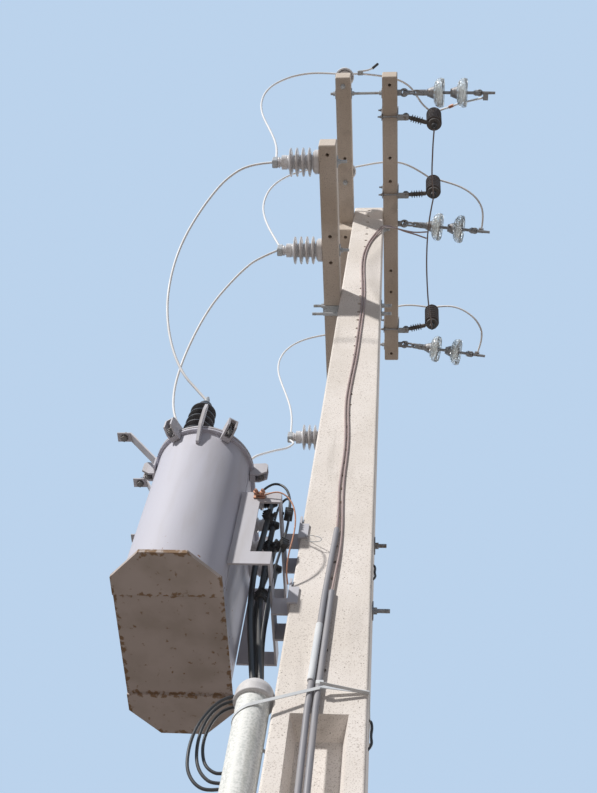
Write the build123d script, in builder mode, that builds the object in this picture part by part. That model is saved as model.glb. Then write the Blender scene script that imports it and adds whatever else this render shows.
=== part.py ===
from build123d import *
import os
from math import cos, radians, sin, sqrt, tan

# Three-phase distribution transformer on a double-T concrete pole.
# Millimetres. Z is up from the ground, the origin is the centre of the pole's foot at ground level.
# X runs across the pole: the transformer hangs on the -X side and the line leaves on the +X side.
# The crossarms run along Y. The pole's drilled front face looks towards -Y.

os.makedirs("parts", exist_ok=True)

# Pole
POLE_HEIGHT = 9300.0          # ground to top, of an 11 m pole set 1.7 m deep
POLE_TOP_WIDTH = 182.0        # along X
POLE_TOP_DEPTH = 140.0        # along Y
WIDTH_TAPER = 0.028           # growth of the width for each millimetre down
DEPTH_TAPER = 0.020
POLE_EDGE = 10.0              # rounding of the pole's four edges
HOLE_DIAMETER = 19.0
HOLE_PITCH = 100.0
FIRST_FRONT_HOLE = 50.0       # below the top, holes along Y
FIRST_SIDE_HOLE = 100.0       # below the top, holes along X
FRONT_HOLE_COUNT = 44
SIDE_HOLE_COUNT = 10
POCKET_TOP = 4752.0           # above the ground, at the face
POCKET_BOTTOM = 260.0
POCKET_COUNT = 3
POCKET_RIB = 170.0
POCKET_WIDTH = 196.0          # opening at the face
POCKET_MARGIN = 20.0          # how far the pocket's cutter starts outside the face
POCKET_DRAFT = 22.0           # how much each side wall leans in
POCKET_SLOPE = 50.0           # how far the roof and floor of a pocket slope
POLE_WEB = 64.0               # wall left between front and back pockets

# Crossarms
ARM_WIDTH = 90.0              # along X
ARM_HEIGHT = 112.0
ARM_LENGTH = 1900.0
ARM_EDGE = 5.0
ARM_HOLE_DIAMETER = 20.0
ARM_HOLE_OFFSETS = (300.0, 450.0, 900.0)
LOWER_ARM_DROP = 1300.0       # below the pole's top
UPPER_ARM_Z = POLE_HEIGHT - FIRST_SIDE_HOLE
LOWER_ARM_Z = POLE_HEIGHT - LOWER_ARM_DROP
LOWER_ARM_SHIFT = 18.0        # the lower arm sits this far towards +Y
SHORT_ARM_LENGTH = 900.0
SHORT_ARM_START = -30.0       # its near end, along Y
SEAT_GAP = 0.3                # clearance between pieces that rest on each other

# Bolts
BOLT_DIAMETER = 16.0
NUT_ACROSS_FLATS = 24.0
NUT_HEIGHT = 13.0
WASHER_SIZE = 50.0
WASHER_THICKNESS = 5.0
SPACER_ROD_Y = (-838.0, 860.0)

# Strings of glass insulators: start along Y, drop and drift over the string's reach
STRING_STARTS = (-838.0, 0.0, 860.0)
STRING_DROPS = (40.0, 85.0, 100.0)
STRING_DRIFTS = (0.0, 25.0, 30.0)
STRING_REACH = 496.0
DISC_DIAMETER = 175.0
DISC_PITCH = 137.0
FIRST_DISC = 232.0            # from the arm's face, along the string
CAP_LENGTH = 52.0
EYE_THREAD = 12.0             # how far a bolt reaches into the eye nut
EYE_CENTRE = 40.0
EYE_RADIUS = 20.0
EYE_ROD_RADIUS = 7.0
SHACKLE_PIN_RADIUS = 6.4
SHACKLE_ROD = 14.0
SHACKLE_SPREAD = 22.0
LINK_PITCH = 46.0
LINK_HOLE = 18.0
LINK_THICKNESS = 10.0
CLEVIS_PIN_RADIUS = 7.0
GRIP_LENGTH = 78.0
THIMBLE_RADIUS = 15.0
TAP_REACH = 24.0              # how far the tap connector stands out from the string's line
TAP_SIDES = ("front", "top", "top")

# Surge arresters
ARRESTER_X = 404.0
ARRESTER_YS = (-661.0, -229.0, 673.0)
ARRESTER_ARM_YS = (-712.0, -219.0, 712.0)
ARRESTER_DROP = 64.0          # of the arresters' foot below the middle of the upper arms
ARRESTER_BASE_Z = UPPER_ARM_Z - ARRESTER_DROP
ARRESTER_HEIGHT = 228.0
ARRESTER_DIAMETER = 92.0
ARRESTER_CORE = 62.0
ARRESTER_SHEDS = 7
TERMINAL_RADIUS = 11.0
TERMINAL_HEIGHT = 30.0
BRACKET_PIVOT = 46.0          # from the clamp's plate to the bracket's bolt
BRACKET_CORE = 26.0
BRACKET_RIB = 46.0
CLAMP_WIDTH = 40.0
CLAMP_THICKNESS = 5.0

# Pin and post insulators
PIN_YS = (-900.0, -300.0, 900.0)
PIN_HEAD_DIAMETER = 114.0
PIN_HEAD_HEIGHT = 130.0
PIN_DIAMETER = 19.0
PIN_RISE = 62.0               # bare pin between the arm and the porcelain
PIN_GROOVE_RADIUS = 31.2      # where a wire rests against the side groove
PIN_GROOVE_DROP = 38.0        # below the head's top
POST_OFFSETS = (-845.0, -350.0, 835.0)
POST_SHED_DIAMETER = 152.0
POST_CORE_DIAMETER = 70.0
POST_FOOT_DIAMETER = 126.0
POST_FOOT_LENGTH = 36.0
POST_LENGTH = 216.0
POST_SHEDS = 4
POST_CLAMP_REACH = 30.0
POST_CLAMP_WIDTH = 44.0
POST_CLAMP_HALF = 30.0

# Transformer tank
TANK_X = -558.0
TANK_RADIUS = 187.0
TANK_LENGTH = 770.0
TANK_BOTTOM = 5192.0
TANK_HEIGHT = 843.0
RIM_OVERHANG = 15.0
RIM_THICKNESS = 9.0
GASKET_THICKNESS = 5.0
LID_THICKNESS = 9.0
LID_CROWN = 22.0
BASE_WIDTH = 394.0
BASE_LENGTH = 843.0
BASE_CORNER = 111.0
BASE_THICKNESS = 6.0
END_PANEL_START = 232.0       # from the centre, where the end panels begin
END_PANEL_DROP = 10.0
LID_CLAMP_WIDTH = 40.0
LID_CLAMP_REACH = 56.0        # beyond the rim
LID_CLAMP_CHEEK = 8.0
END_CLAMP_ANGLE = 31.0        # of the round ends' clamps from the lid's long axis
SIDE_CLAMP_Y = 185.0
END_LUG_THICKNESS = 12.0
END_LUG_RISE = 150.0          # of the upright lug's top above the lid
TANK_BARS = ((-262.0, 146.0), (-33.0, 98.0), (262.0, 146.0))  # (y, reach of the slanted part)
TANK_BAR_WIDTH = 42.0

# Bushings
HV_BUSHING_X = -616.0
HV_BUSHING_PITCH = 250.0
HV_BUSHING_HEIGHT = 438.0
HV_SHED_DIAMETER = 137.0
HV_SHEDS = 6
LV_BUSHING_Z = 5850.0
LV_BUSHING_PITCH = 110.0
LV_BUSHING_REACH = 120.0

# Hanger plates on the tank and supports on the pole
HANGER_Y = 242.0
HANGER_THICKNESS = 8.0
HANGER_REACH_X = -216.0
HANGER_STRIP = 46.0
HANGER_TOP = 5812.0
HANGER_UPPER_ARM = 66.0
HANGER_BOTTOM = 5357.0
HANGER_LOWER_ARM = 72.0
SUPPORT_BOLT_ZS = (5800.0, 5400.0)
SUPPORT_HEIGHT = 90.0
SUPPORT_DROP = 60.0           # centre of the channel below its bolt
SUPPORT_HALF_LENGTH = 60.0
SUPPORT_THICKNESS = 8.0
SUPPORT_LIP = 30.0

# Riser pipe, conduits and strap
RISER_DIAMETER = 113.0
RISER_TOP = 4832.0
RISER_Y = -95.0
RISER_FOOT = 8.0              # clear of the ground
CAP_DIAMETER = 131.0
CAP_SKIRT = 30.0
CAP_HEIGHT = 62.0
CAP_MOUTH = 28.0
CONDUIT_DIAMETER = 22.0
CONDUIT_BEND_RADIUS = 900.0
CONDUIT_ROUTES = (            # (x, z) from the top of each conduit down
    ((-1.0, 5747.0), (-22.0, 5340.0), (-39.0, 4750.0), (-40.0, 12.0)),
    ((3.0, 5357.0), (-12.0, 4750.0), (-14.0, 12.0)),
)
STRAP_WIDTH = 14.0
STRAP_THICKNESS = 2.0
STRAP_Z = 4846.0              # its height round the pole and the conduits
STRAP_BEND_X = 12.0           # from here it slopes down to the riser
STRAP_SLOPE = 0.46

# Wires
JUMPER_DIAMETER = 12.0
EARTH_DIAMETER = 9.0
LV_CABLE_DIAMETER = 22.0
COIL_CABLE_DIAMETER = 11.0


def half_width(z):
    """Half of the pole's width along X at a height."""
    return (POLE_TOP_WIDTH + WIDTH_TAPER * (POLE_HEIGHT - z)) / 2


def half_depth(z):
    """Half of the pole's depth along Y at a height."""
    return (POLE_TOP_DEPTH + DEPTH_TAPER * (POLE_HEIGHT - z)) / 2


def save(name, *pieces):
    """Write one node: a single piece, or like pieces that do not touch."""
    node = pieces[0] if len(pieces) == 1 else Compound(children=list(pieces))
    node.label = name
    export_step(node, f"parts/{name}.step")


# Pole
with BuildPart() as pole:
    for plane, foot, top, depth, mode in (
        (Plane.XZ, half_width(0), POLE_TOP_WIDTH / 2, half_depth(0), Mode.ADD),
        (Plane.YZ, half_depth(0), POLE_TOP_DEPTH / 2, half_width(0), Mode.INTERSECT),
    ):
        with BuildSketch(plane):
            with BuildLine():
                Polyline((-foot, 0), (foot, 0), (top, POLE_HEIGHT), (-top, POLE_HEIGHT), close=True)
            make_face()
        extrude(amount=depth, both=True, mode=mode)
    fillet(pole.edges().sort_by(SortBy.LENGTH)[-4:], POLE_EDGE)
    pocket_height = (POCKET_TOP - POCKET_BOTTOM - (POCKET_COUNT - 1) * POCKET_RIB) / POCKET_COUNT
    for side in (-1, 1):
        for bay in range(POCKET_COUNT):
            top = POCKET_TOP - bay * (pocket_height + POCKET_RIB)
            middle = top - pocket_height / 2
            # the cutter starts a little outside the face, widened by the same draft
            face = half_depth(top - pocket_height)
            spread = POCKET_MARGIN / (face - POLE_WEB / 2)
            outside = side * (face + POCKET_MARGIN)
            with BuildSketch(Plane((0, outside, middle), x_dir=(1, 0, 0), z_dir=(0, side, 0))):
                Rectangle(
                    POCKET_WIDTH + 2 * POCKET_DRAFT * spread, pocket_height + 2 * POCKET_SLOPE * spread
                )
            with BuildSketch(Plane((0, side * POLE_WEB / 2, middle), x_dir=(1, 0, 0), z_dir=(0, side, 0))):
                Rectangle(POCKET_WIDTH - 2 * POCKET_DRAFT, pocket_height - 2 * POCKET_SLOPE)
            loft(mode=Mode.SUBTRACT)
    front_holes = [(0, POLE_HEIGHT - FIRST_FRONT_HOLE - i * HOLE_PITCH) for i in range(FRONT_HOLE_COUNT)]
    with BuildSketch(Plane.XZ.offset(half_depth(0) + 10)):
        with Locations(*front_holes):
            Circle(HOLE_DIAMETER / 2)
    extrude(amount=-2 * half_depth(0) - 20, mode=Mode.SUBTRACT)
    side_heights = [POLE_HEIGHT - FIRST_SIDE_HOLE - i * HOLE_PITCH for i in range(SIDE_HOLE_COUNT)]
    side_heights += [LOWER_ARM_Z, LOWER_ARM_Z - HOLE_PITCH, *SUPPORT_BOLT_ZS]
    with BuildSketch(Plane.YZ.offset(half_width(0) + 10)):
        with Locations(*[(0, z) for z in side_heights]):
            Circle(HOLE_DIAMETER / 2)
    extrude(amount=-2 * half_width(0) - 20, mode=Mode.SUBTRACT)
save("pole", pole.part)


# Crossarms
def crossarm(centre_x, centre_y, centre_z, length, hole_offsets, bolt_ys):
    """A concrete bar along Y with vertical holes and horizontal bolt holes."""
    with BuildPart(Plane((centre_x, centre_y, centre_z))) as arm:
        Box(ARM_WIDTH, length, ARM_HEIGHT)
        chamfer(arm.edges(), ARM_EDGE)
        with BuildSketch(Plane((centre_x, centre_y, centre_z))):
            with Locations(*[(0, sign * offset) for sign in (-1, 1) for offset in hole_offsets]):
                Circle(ARM_HOLE_DIAMETER / 2)
        extrude(amount=ARM_HEIGHT, both=True, mode=Mode.SUBTRACT)
        with BuildSketch(Plane.YZ.offset(centre_x)):
            with Locations(*bolt_ys):
                Circle(HOLE_DIAMETER / 2)
        extrude(amount=ARM_WIDTH, both=True, mode=Mode.SUBTRACT)
    return arm.part


def arm_centre_x(arm_z):
    """Centre of an arm that rests on the pole's side at its underside."""
    return half_width(arm_z - ARM_HEIGHT / 2) + SEAT_GAP + ARM_WIDTH / 2


UPPER_ARM_X = arm_centre_x(UPPER_ARM_Z)
LOWER_ARM_X = -arm_centre_x(LOWER_ARM_Z)
SHORT_ARM_Z = UPPER_ARM_Z - ARM_HEIGHT - SEAT_GAP
SHORT_ARM_X = -arm_centre_x(SHORT_ARM_Z)
SHORT_BOLT_Z = UPPER_ARM_Z - HOLE_PITCH
UPPER_FACE_X = UPPER_ARM_X + ARM_WIDTH / 2
LOWER_FACE_X = LOWER_ARM_X - ARM_WIDTH / 2
upper_bolts = [(y, UPPER_ARM_Z) for y in STRING_STARTS]
post_ys = [LOWER_ARM_SHIFT + offset for offset in POST_OFFSETS]
lower_bolts = [(0, LOWER_ARM_Z)] + [(y, LOWER_ARM_Z) for y in post_ys]
save("crossarm_right", crossarm(UPPER_ARM_X, 0, UPPER_ARM_Z, ARM_LENGTH, ARM_HOLE_OFFSETS, upper_bolts))
save("crossarm_left", crossarm(-UPPER_ARM_X, 0, UPPER_ARM_Z, ARM_LENGTH, ARM_HOLE_OFFSETS, upper_bolts))
save(
    "crossarm_lower",
    crossarm(LOWER_ARM_X, LOWER_ARM_SHIFT, LOWER_ARM_Z, ARM_LENGTH, ARM_HOLE_OFFSETS, lower_bolts),
)
short_centre = SHORT_ARM_START + SHORT_ARM_LENGTH / 2
save(
    "crossarm_short",
    crossarm(SHORT_ARM_X, short_centre, SHORT_ARM_Z, SHORT_ARM_LENGTH, (400.0,), [(0, SHORT_BOLT_Z)]),
)


def nut_and_washer(side):
    """A square washer with a hexagon nut on it, along X, the washer's seat at the origin."""
    with BuildPart() as nut:
        with BuildSketch(Plane.YZ):
            Rectangle(WASHER_SIZE, WASHER_SIZE)
            Circle(BOLT_DIAMETER / 2, mode=Mode.SUBTRACT)
        extrude(amount=side * WASHER_THICKNESS)
        with BuildSketch(Plane.YZ.offset(side * WASHER_THICKNESS)):
            RegularPolygon(NUT_ACROSS_FLATS / 2, 6, major_radius=False)
            Circle(BOLT_DIAMETER / 2, mode=Mode.SUBTRACT)
        extrude(amount=side * NUT_HEIGHT)
    return nut.part


def through_bolt(y, z, start_x, end_x, seats):
    """A threaded rod along X with a nut and washer at each seat, given as (x, side)."""
    with BuildPart() as rod:
        with BuildSketch(Plane.YZ.offset(start_x)):
            with Locations((y, z)):
                Circle(BOLT_DIAMETER / 2)
        extrude(amount=end_x - start_x)
        for seat_x, side in seats:
            add(nut_and_washer(side).moved(Location((seat_x, y, z))))
    return rod.part


def outer(x, side):
    """A seat just outside a face at x."""
    return (x + side * SEAT_GAP, side)


upper_inner_x = UPPER_ARM_X - ARM_WIDTH / 2
spacer_rods = [
    through_bolt(
        y, UPPER_ARM_Z, -UPPER_FACE_X - 34, UPPER_FACE_X + EYE_THREAD,
        [outer(-UPPER_FACE_X, -1), outer(-upper_inner_x, 1), outer(upper_inner_x, -1)],
    )
    for y in SPACER_ROD_Y
]
short_face_x = SHORT_ARM_X - ARM_WIDTH / 2
pole_bolts = [
    through_bolt(0, UPPER_ARM_Z, -UPPER_FACE_X - 34, UPPER_FACE_X + EYE_THREAD, [outer(-UPPER_FACE_X, -1)]),
    through_bolt(
        0, SHORT_BOLT_Z, short_face_x - 40, half_width(SHORT_BOLT_Z) + 40,
        [outer(short_face_x, -1), outer(half_width(SHORT_BOLT_Z - WASHER_SIZE / 2), 1)],
    ),
    through_bolt(
        0, LOWER_ARM_Z, LOWER_FACE_X - 62, half_width(LOWER_ARM_Z) + 58,
        [outer(LOWER_FACE_X, -1), outer(half_width(LOWER_ARM_Z - WASHER_SIZE / 2), 1)],
    ),
]

# Angle seat under the lower arm, with its own bolt through the pole
seat_bolt_z = LOWER_ARM_Z - HOLE_PITCH
arm_underside = LOWER_ARM_Z - ARM_HEIGHT / 2
seat_back_x = -half_width(arm_underside - 90) - SEAT_GAP
with BuildPart() as arm_seat:
    with BuildSketch(Plane.XZ.offset(-30)):
        with BuildLine():
            Polyline(
                (seat_back_x, arm_underside - 90),
                (seat_back_x, arm_underside - SEAT_GAP),
                (LOWER_FACE_X - 6, arm_underside - SEAT_GAP),
                (LOWER_FACE_X - 6, arm_underside - SEAT_GAP - 6),
                (seat_back_x - 6, arm_underside - SEAT_GAP - 6),
                (seat_back_x - 6, arm_underside - 90),
                close=True,
            )
        make_face()
    extrude(amount=60)
    with BuildSketch(Plane.YZ.offset(seat_back_x - 10)):
        with Locations((0, seat_bolt_z)):
            Circle(HOLE_DIAMETER / 2)
    extrude(amount=20, mode=Mode.SUBTRACT)
save("arm_seat", arm_seat.part)
seat_bolt = through_bolt(
    0, seat_bolt_z, LOWER_FACE_X - 62, half_width(seat_bolt_z) + 58,
    [outer(seat_back_x - 6, -1), outer(half_width(seat_bolt_z - WASHER_SIZE / 2), 1)],
)
save("arm_bolts", *spacer_rods, *pole_bolts, seat_bolt)

# Pin insulators on the left arm
upper_top_z = UPPER_ARM_Z + ARM_HEIGHT / 2
upper_bottom_z = UPPER_ARM_Z - ARM_HEIGHT / 2
head_z = upper_top_z + PIN_RISE
head_radius = PIN_HEAD_DIAMETER / 2
with BuildPart() as pin_head:
    with BuildSketch(Plane.XZ):
        with BuildLine():
            Polyline(
                (0, PIN_HEAD_HEIGHT), (20, PIN_HEAD_HEIGHT), (34, PIN_HEAD_HEIGHT - 10),
                (36, PIN_HEAD_HEIGHT - 24), (29, PIN_HEAD_HEIGHT - 34), (29, PIN_HEAD_HEIGHT - 42),
                (40, PIN_HEAD_HEIGHT - 54),
            )
            ThreePointArc((40, PIN_HEAD_HEIGHT - 54), (54, 46), (head_radius, 14))
            Polyline(
                (head_radius, 14), (head_radius - 7, 8), (44, 30), (38, 2), (32, 2),
                (28, 34), (PIN_DIAMETER / 2 + 4, 34), (PIN_DIAMETER / 2, 0), (0, 0), (0, PIN_HEAD_HEIGHT),
            )
        make_face()
    revolve(axis=Axis.Z)
save("pin_insulators", *[pin_head.part.moved(Location((-UPPER_ARM_X, y, head_z))) for y in PIN_YS])
with BuildPart() as insulator_pin:
    with Locations((0, 0, -ARM_HEIGHT - 30)):
        Cylinder(
            PIN_DIAMETER / 2, ARM_HEIGHT + 30 + PIN_RISE - SEAT_GAP,
            align=(Align.CENTER, Align.CENTER, Align.MIN),
        )
    with Locations((0, 0, SEAT_GAP)):
        Cylinder(24, 8, align=(Align.CENTER, Align.CENTER, Align.MIN))
    with BuildSketch(Plane.XY.offset(-ARM_HEIGHT - SEAT_GAP)):
        RegularPolygon(15, 6)
    extrude(amount=-16)
pins = [insulator_pin.part.moved(Location((-UPPER_ARM_X, y, upper_top_z))) for y in PIN_YS]

# Post insulators, horizontal, on the lower arm's left face
shed_radius = POST_SHED_DIAMETER / 2
core_radius = POST_CORE_DIAMETER / 2
shed_pitch = (POST_LENGTH - POST_FOOT_LENGTH - 50) / POST_SHEDS
with BuildPart() as post:
    with BuildSketch(Plane.XZ):
        with BuildLine():
            foot_radius = POST_FOOT_DIAMETER / 2
            points = [
                (0, 0), (0, foot_radius - 6), (-5, foot_radius), (-POST_FOOT_LENGTH + 12, foot_radius),
                (-POST_FOOT_LENGTH + 3, foot_radius - 12), (-POST_FOOT_LENGTH, core_radius),
            ]
            for i in range(POST_SHEDS):
                root = -POST_FOOT_LENGTH - i * shed_pitch
                points += [
                    (root - 3, core_radius), (root - shed_pitch * 0.35, shed_radius - 3),
                    (root - shed_pitch * 0.5, shed_radius), (root - shed_pitch * 0.62, shed_radius - 4),
                    (root - shed_pitch * 0.8, core_radius + 5),
                ]
            neck = -POST_FOOT_LENGTH - POST_SHEDS * shed_pitch
            points += [
                (neck, core_radius), (neck - 6, 38), (neck - 30, 38), (neck - 34, 24), (neck - 40, 24),
                (neck - 44, 30), (-POST_LENGTH, 27), (-POST_LENGTH, 0),
            ]
            Polyline(*points, close=True)
        make_face()
    revolve(axis=Axis.X)
post_places = [Location((LOWER_FACE_X - SEAT_GAP, y, LOWER_ARM_Z)) for y in post_ys]
save("post_insulators", *[post.part.moved(place) for place in post_places])
lower_inner_x = LOWER_ARM_X + ARM_WIDTH / 2
post_studs = [
    through_bolt(y, LOWER_ARM_Z, LOWER_FACE_X, lower_inner_x + 52, [outer(lower_inner_x, 1)])
    for y in post_ys
]
post_end_x = LOWER_FACE_X - SEAT_GAP - POST_LENGTH
with BuildPart() as post_clamp:
    with Locations((post_end_x - SEAT_GAP - POST_CLAMP_REACH / 2, 0, LOWER_ARM_Z)):
        Box(POST_CLAMP_REACH, POST_CLAMP_WIDTH, 2 * POST_CLAMP_HALF)
    chamfer(post_clamp.edges(), 4)
post_clamps = [post_clamp.part.moved(Location((0, y, 0))) for y in post_ys]
save("insulator_fittings", *pins, *post_studs, *post_clamps)

# Glass strings, modelled along +X from the arm's face and then set on their own lines
with BuildPart() as glass_disc:
    with BuildSketch(Plane.XY):
        with BuildLine():
            radius = DISC_DIAMETER / 2
            Spline((-14, 41), (0, 64), (30, radius), tangents=[(0, 1), (1, 0.7)])
            Polyline((30, radius), (42, radius), (43, radius - 5), (32, radius - 8))
            Polyline(
                (32, radius - 8), (33, 66), (51, 64), (51, 60), (30, 55), (28, 46), (46, 44), (46, 40),
                (22, 34),
                (14, 14), (0, 14), (0, 38.6), (-14, 38.6), (-14, 41),
            )
        make_face()
    revolve(axis=Axis.X)
with BuildPart() as disc_cap:
    with BuildSketch(Plane.XY):
        with BuildLine():
            Polyline(
                (-SEAT_GAP, 0), (-SEAT_GAP, 38), (-10, 38), (-34, 30), (-46, 24), (-CAP_LENGTH, 24),
                (-CAP_LENGTH, 0), close=True,
            )
        make_face()
    revolve(axis=Axis.X)
with BuildPart() as disc_pin:
    with BuildSketch(Plane.XY):
        with BuildLine():
            pin_end = DISC_PITCH - CAP_LENGTH - SEAT_GAP
            Polyline((2, 0), (2, 13.7), (12, 13.7), (40, 9), (pin_end, 9), (pin_end, 0), close=True)
        make_face()
    revolve(axis=Axis.X)


def ring_profile(inner_radius, outer_radius, start, end):
    """A tube about the string's axis."""
    with BuildPart() as tube:
        with BuildSketch(Plane.YZ.offset(start)):
            Circle(outer_radius)
            if inner_radius:
                Circle(inner_radius, mode=Mode.SUBTRACT)
        extrude(amount=end - start)
    return tube.part


with BuildPart() as eye_nut:
    add(ring_profile(BOLT_DIAMETER / 2 + SEAT_GAP, 18, SEAT_GAP, EYE_THREAD + 1))
    add(ring_profile(0, 18, EYE_THREAD + SEAT_GAP, 24))
    with Locations((EYE_CENTRE, 0, 0)):
        Torus(EYE_RADIUS, EYE_ROD_RADIUS)

shackle_pin_x = EYE_CENTRE + EYE_RADIUS - EYE_ROD_RADIUS - SEAT_GAP - SHACKLE_PIN_RADIUS
bow_start_x = shackle_pin_x + 34
bow_end_x = bow_start_x + SHACKLE_SPREAD
with BuildPart() as shackle:
    with BuildLine() as bow:
        Line((shackle_pin_x, 0, SHACKLE_SPREAD), (bow_start_x, 0, SHACKLE_SPREAD))
        ThreePointArc(
            (bow_start_x, 0, SHACKLE_SPREAD), (bow_end_x, 0, 0), (bow_start_x, 0, -SHACKLE_SPREAD)
        )
        Line((bow_start_x, 0, -SHACKLE_SPREAD), (shackle_pin_x, 0, -SHACKLE_SPREAD))
    with BuildSketch(Plane((shackle_pin_x, 0, SHACKLE_SPREAD), z_dir=(1, 0, 0))):
        Circle(SHACKLE_ROD / 2)
    sweep(path=bow.wire())
    with Locations((shackle_pin_x, 0, SHACKLE_SPREAD), (shackle_pin_x, 0, -SHACKLE_SPREAD)):
        Cylinder(14, 13)
    with Locations((shackle_pin_x, 0, 0)):
        Cylinder(SHACKLE_PIN_RADIUS, 2 * SHACKLE_SPREAD + 36)

link_start_x = bow_end_x - SHACKLE_ROD / 2 - SEAT_GAP + LINK_HOLE / 2
link_end_x = link_start_x + LINK_PITCH
with BuildPart() as link:
    with BuildSketch(Plane.XY.offset(-LINK_THICKNESS / 2)):
        with Locations(((link_start_x + link_end_x) / 2, 0)):
            SlotCenterToCenter(LINK_PITCH, 34)
        with Locations((link_start_x, 0), (link_end_x, 0)):
            Circle(LINK_HOLE / 2, mode=Mode.SUBTRACT)
    extrude(amount=LINK_THICKNESS)

clevis_pin_x = link_end_x + LINK_HOLE / 2 - SEAT_GAP - CLEVIS_PIN_RADIUS
clevis_end_x = FIRST_DISC - CAP_LENGTH - SEAT_GAP
cheek_gap = LINK_THICKNESS / 2 + SEAT_GAP
with BuildPart() as clevis:
    with BuildSketch(Plane.XZ.offset(-15)):
        with BuildLine():
            Polyline(
                (clevis_pin_x - 16, cheek_gap), (clevis_pin_x - 16, cheek_gap + 8),
                (clevis_end_x, cheek_gap + 8),
                (clevis_end_x, -cheek_gap - 8), (clevis_pin_x - 16, -cheek_gap - 8),
                (clevis_pin_x - 16, -cheek_gap),
                (link_end_x + 18, -cheek_gap), (link_end_x + 18, cheek_gap), close=True,
            )
        make_face()
    extrude(amount=30)
    with Locations((clevis_pin_x, 0, 0)):
        Cylinder(CLEVIS_PIN_RADIUS, 2 * cheek_gap + 34)

# Dead-end clamp behind the second disc: clevis, thimble and the gripped end of the wire
clamp_start_x = FIRST_DISC + 2 * DISC_PITCH - CAP_LENGTH
with BuildPart() as dead_end:
    add(ring_profile(0, 14, clamp_start_x, clamp_start_x + 10))
    with BuildSketch(Plane.XZ.offset(-13)):
        with BuildLine():
            Polyline(
                (clamp_start_x + 8, 17), (clamp_start_x + 42, 17), (clamp_start_x + 42, 9),
                (clamp_start_x + 16, 9), (clamp_start_x + 16, -9), (clamp_start_x + 42, -9),
                (clamp_start_x + 42, -17), (clamp_start_x + 8, -17), close=True,
            )
        make_face()
    extrude(amount=26)
    with Locations((clamp_start_x + 31, 0, 0)):
        Cylinder(SHACKLE_PIN_RADIUS, 48)
thimble_rod = 6.0
thimble_x = clamp_start_x + 31 - SHACKLE_PIN_RADIUS - SEAT_GAP + THIMBLE_RADIUS - thimble_rod
grip_start_x = thimble_x + THIMBLE_RADIUS
tap_x = grip_start_x + 22
tap_half = 15.0
grips = {}
for side in set(TAP_SIDES):
    with BuildPart() as grip:
        with Locations((thimble_x, 0, 0)):
            Torus(THIMBLE_RADIUS, thimble_rod)
        with BuildSketch(Plane.YZ.offset(grip_start_x)):
            Circle(10)
        with BuildSketch(Plane.YZ.offset(grip_start_x + GRIP_LENGTH)):
            Circle(8)
        loft()
        if side == "top":
            with Locations((tap_x, 0, 4)):
                Box(2 * tap_half, 26, TAP_REACH - 4, align=(Align.CENTER, Align.CENTER, Align.MIN))
        else:
            with Locations((tap_x, 4, 0)):
                Box(2 * tap_half, TAP_REACH + 14, 24, align=(Align.CENTER, Align.MIN, Align.CENTER))
    grips[side] = grip.part

# Everything behind the eye nut hangs on its own line, turned about the shackle's pin
hanging = (shackle.part, link.part, clevis.part, dead_end.part)
glass_discs = []
for number, (start_y, drop, drift) in enumerate(zip(STRING_STARTS, STRING_DROPS, STRING_DRIFTS), 1):
    along = Vector(STRING_REACH, drift, -drop).normalized()
    pivot = Vector(UPPER_FACE_X + shackle_pin_x, start_y, UPPER_ARM_Z)
    line = Plane(pivot - along * shackle_pin_x, x_dir=along, z_dir=(drop, 0, STRING_REACH))
    disc_places = [line.location * Location((FIRST_DISC + i * DISC_PITCH, 0, 0)) for i in range(2)]
    save(
        f"string_{number}_fittings",
        eye_nut.part.moved(Location((UPPER_FACE_X, start_y, UPPER_ARM_Z))),
        *[piece.moved(line.location) for piece in (*hanging, grips[TAP_SIDES[number - 1]])],
        *[piece.part.moved(place) for place in disc_places for piece in (disc_cap, disc_pin)],
    )
    glass_discs += [glass_disc.part.moved(place) for place in disc_places]
save("glass_discs", *glass_discs)

# Surge arresters on insulating brackets clamped round the right arm
shed_step = (ARRESTER_HEIGHT - 26) / ARRESTER_SHEDS
with BuildPart() as arrester:
    with BuildSketch(Plane.XZ):
        with BuildLine():
            core = ARRESTER_CORE / 2
            edge = ARRESTER_DIAMETER / 2
            points = [(0, 0), (core, 0), (core, 12)]
            for i in range(ARRESTER_SHEDS):
                foot = 12 + i * shed_step
                points += [(edge, foot + 4), (edge, foot + 9), (core, foot + shed_step * 0.72)]
            points += [(core, ARRESTER_HEIGHT - 14), (core - 9, ARRESTER_HEIGHT), (0, ARRESTER_HEIGHT)]
            Polyline(*points, close=True)
        make_face()
    revolve(axis=Axis.Z)
    with Locations((0, 0, ARRESTER_HEIGHT)):
        Cylinder(TERMINAL_RADIUS, TERMINAL_HEIGHT, align=(Align.CENTER, Align.CENTER, Align.MIN))
arrester_places = [Location((ARRESTER_X, y, ARRESTER_BASE_Z)) for y in ARRESTER_YS]
save("arresters", *[arrester.part.moved(place) for place in arrester_places])

arm_ring_bottom = -SEAT_GAP - 12
with BuildPart() as disconnector:
    with Locations((0, 0, arm_ring_bottom - SEAT_GAP)):
        Cylinder(17, 42, align=(Align.CENTER, Align.CENTER, Align.MAX))
    with Locations((0, 0, arm_ring_bottom - 42)):
        Cylinder(5, 28, align=(Align.CENTER, Align.CENTER, Align.MAX))
save("disconnectors", *[disconnector.part.moved(place) for place in arrester_places])

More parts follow.
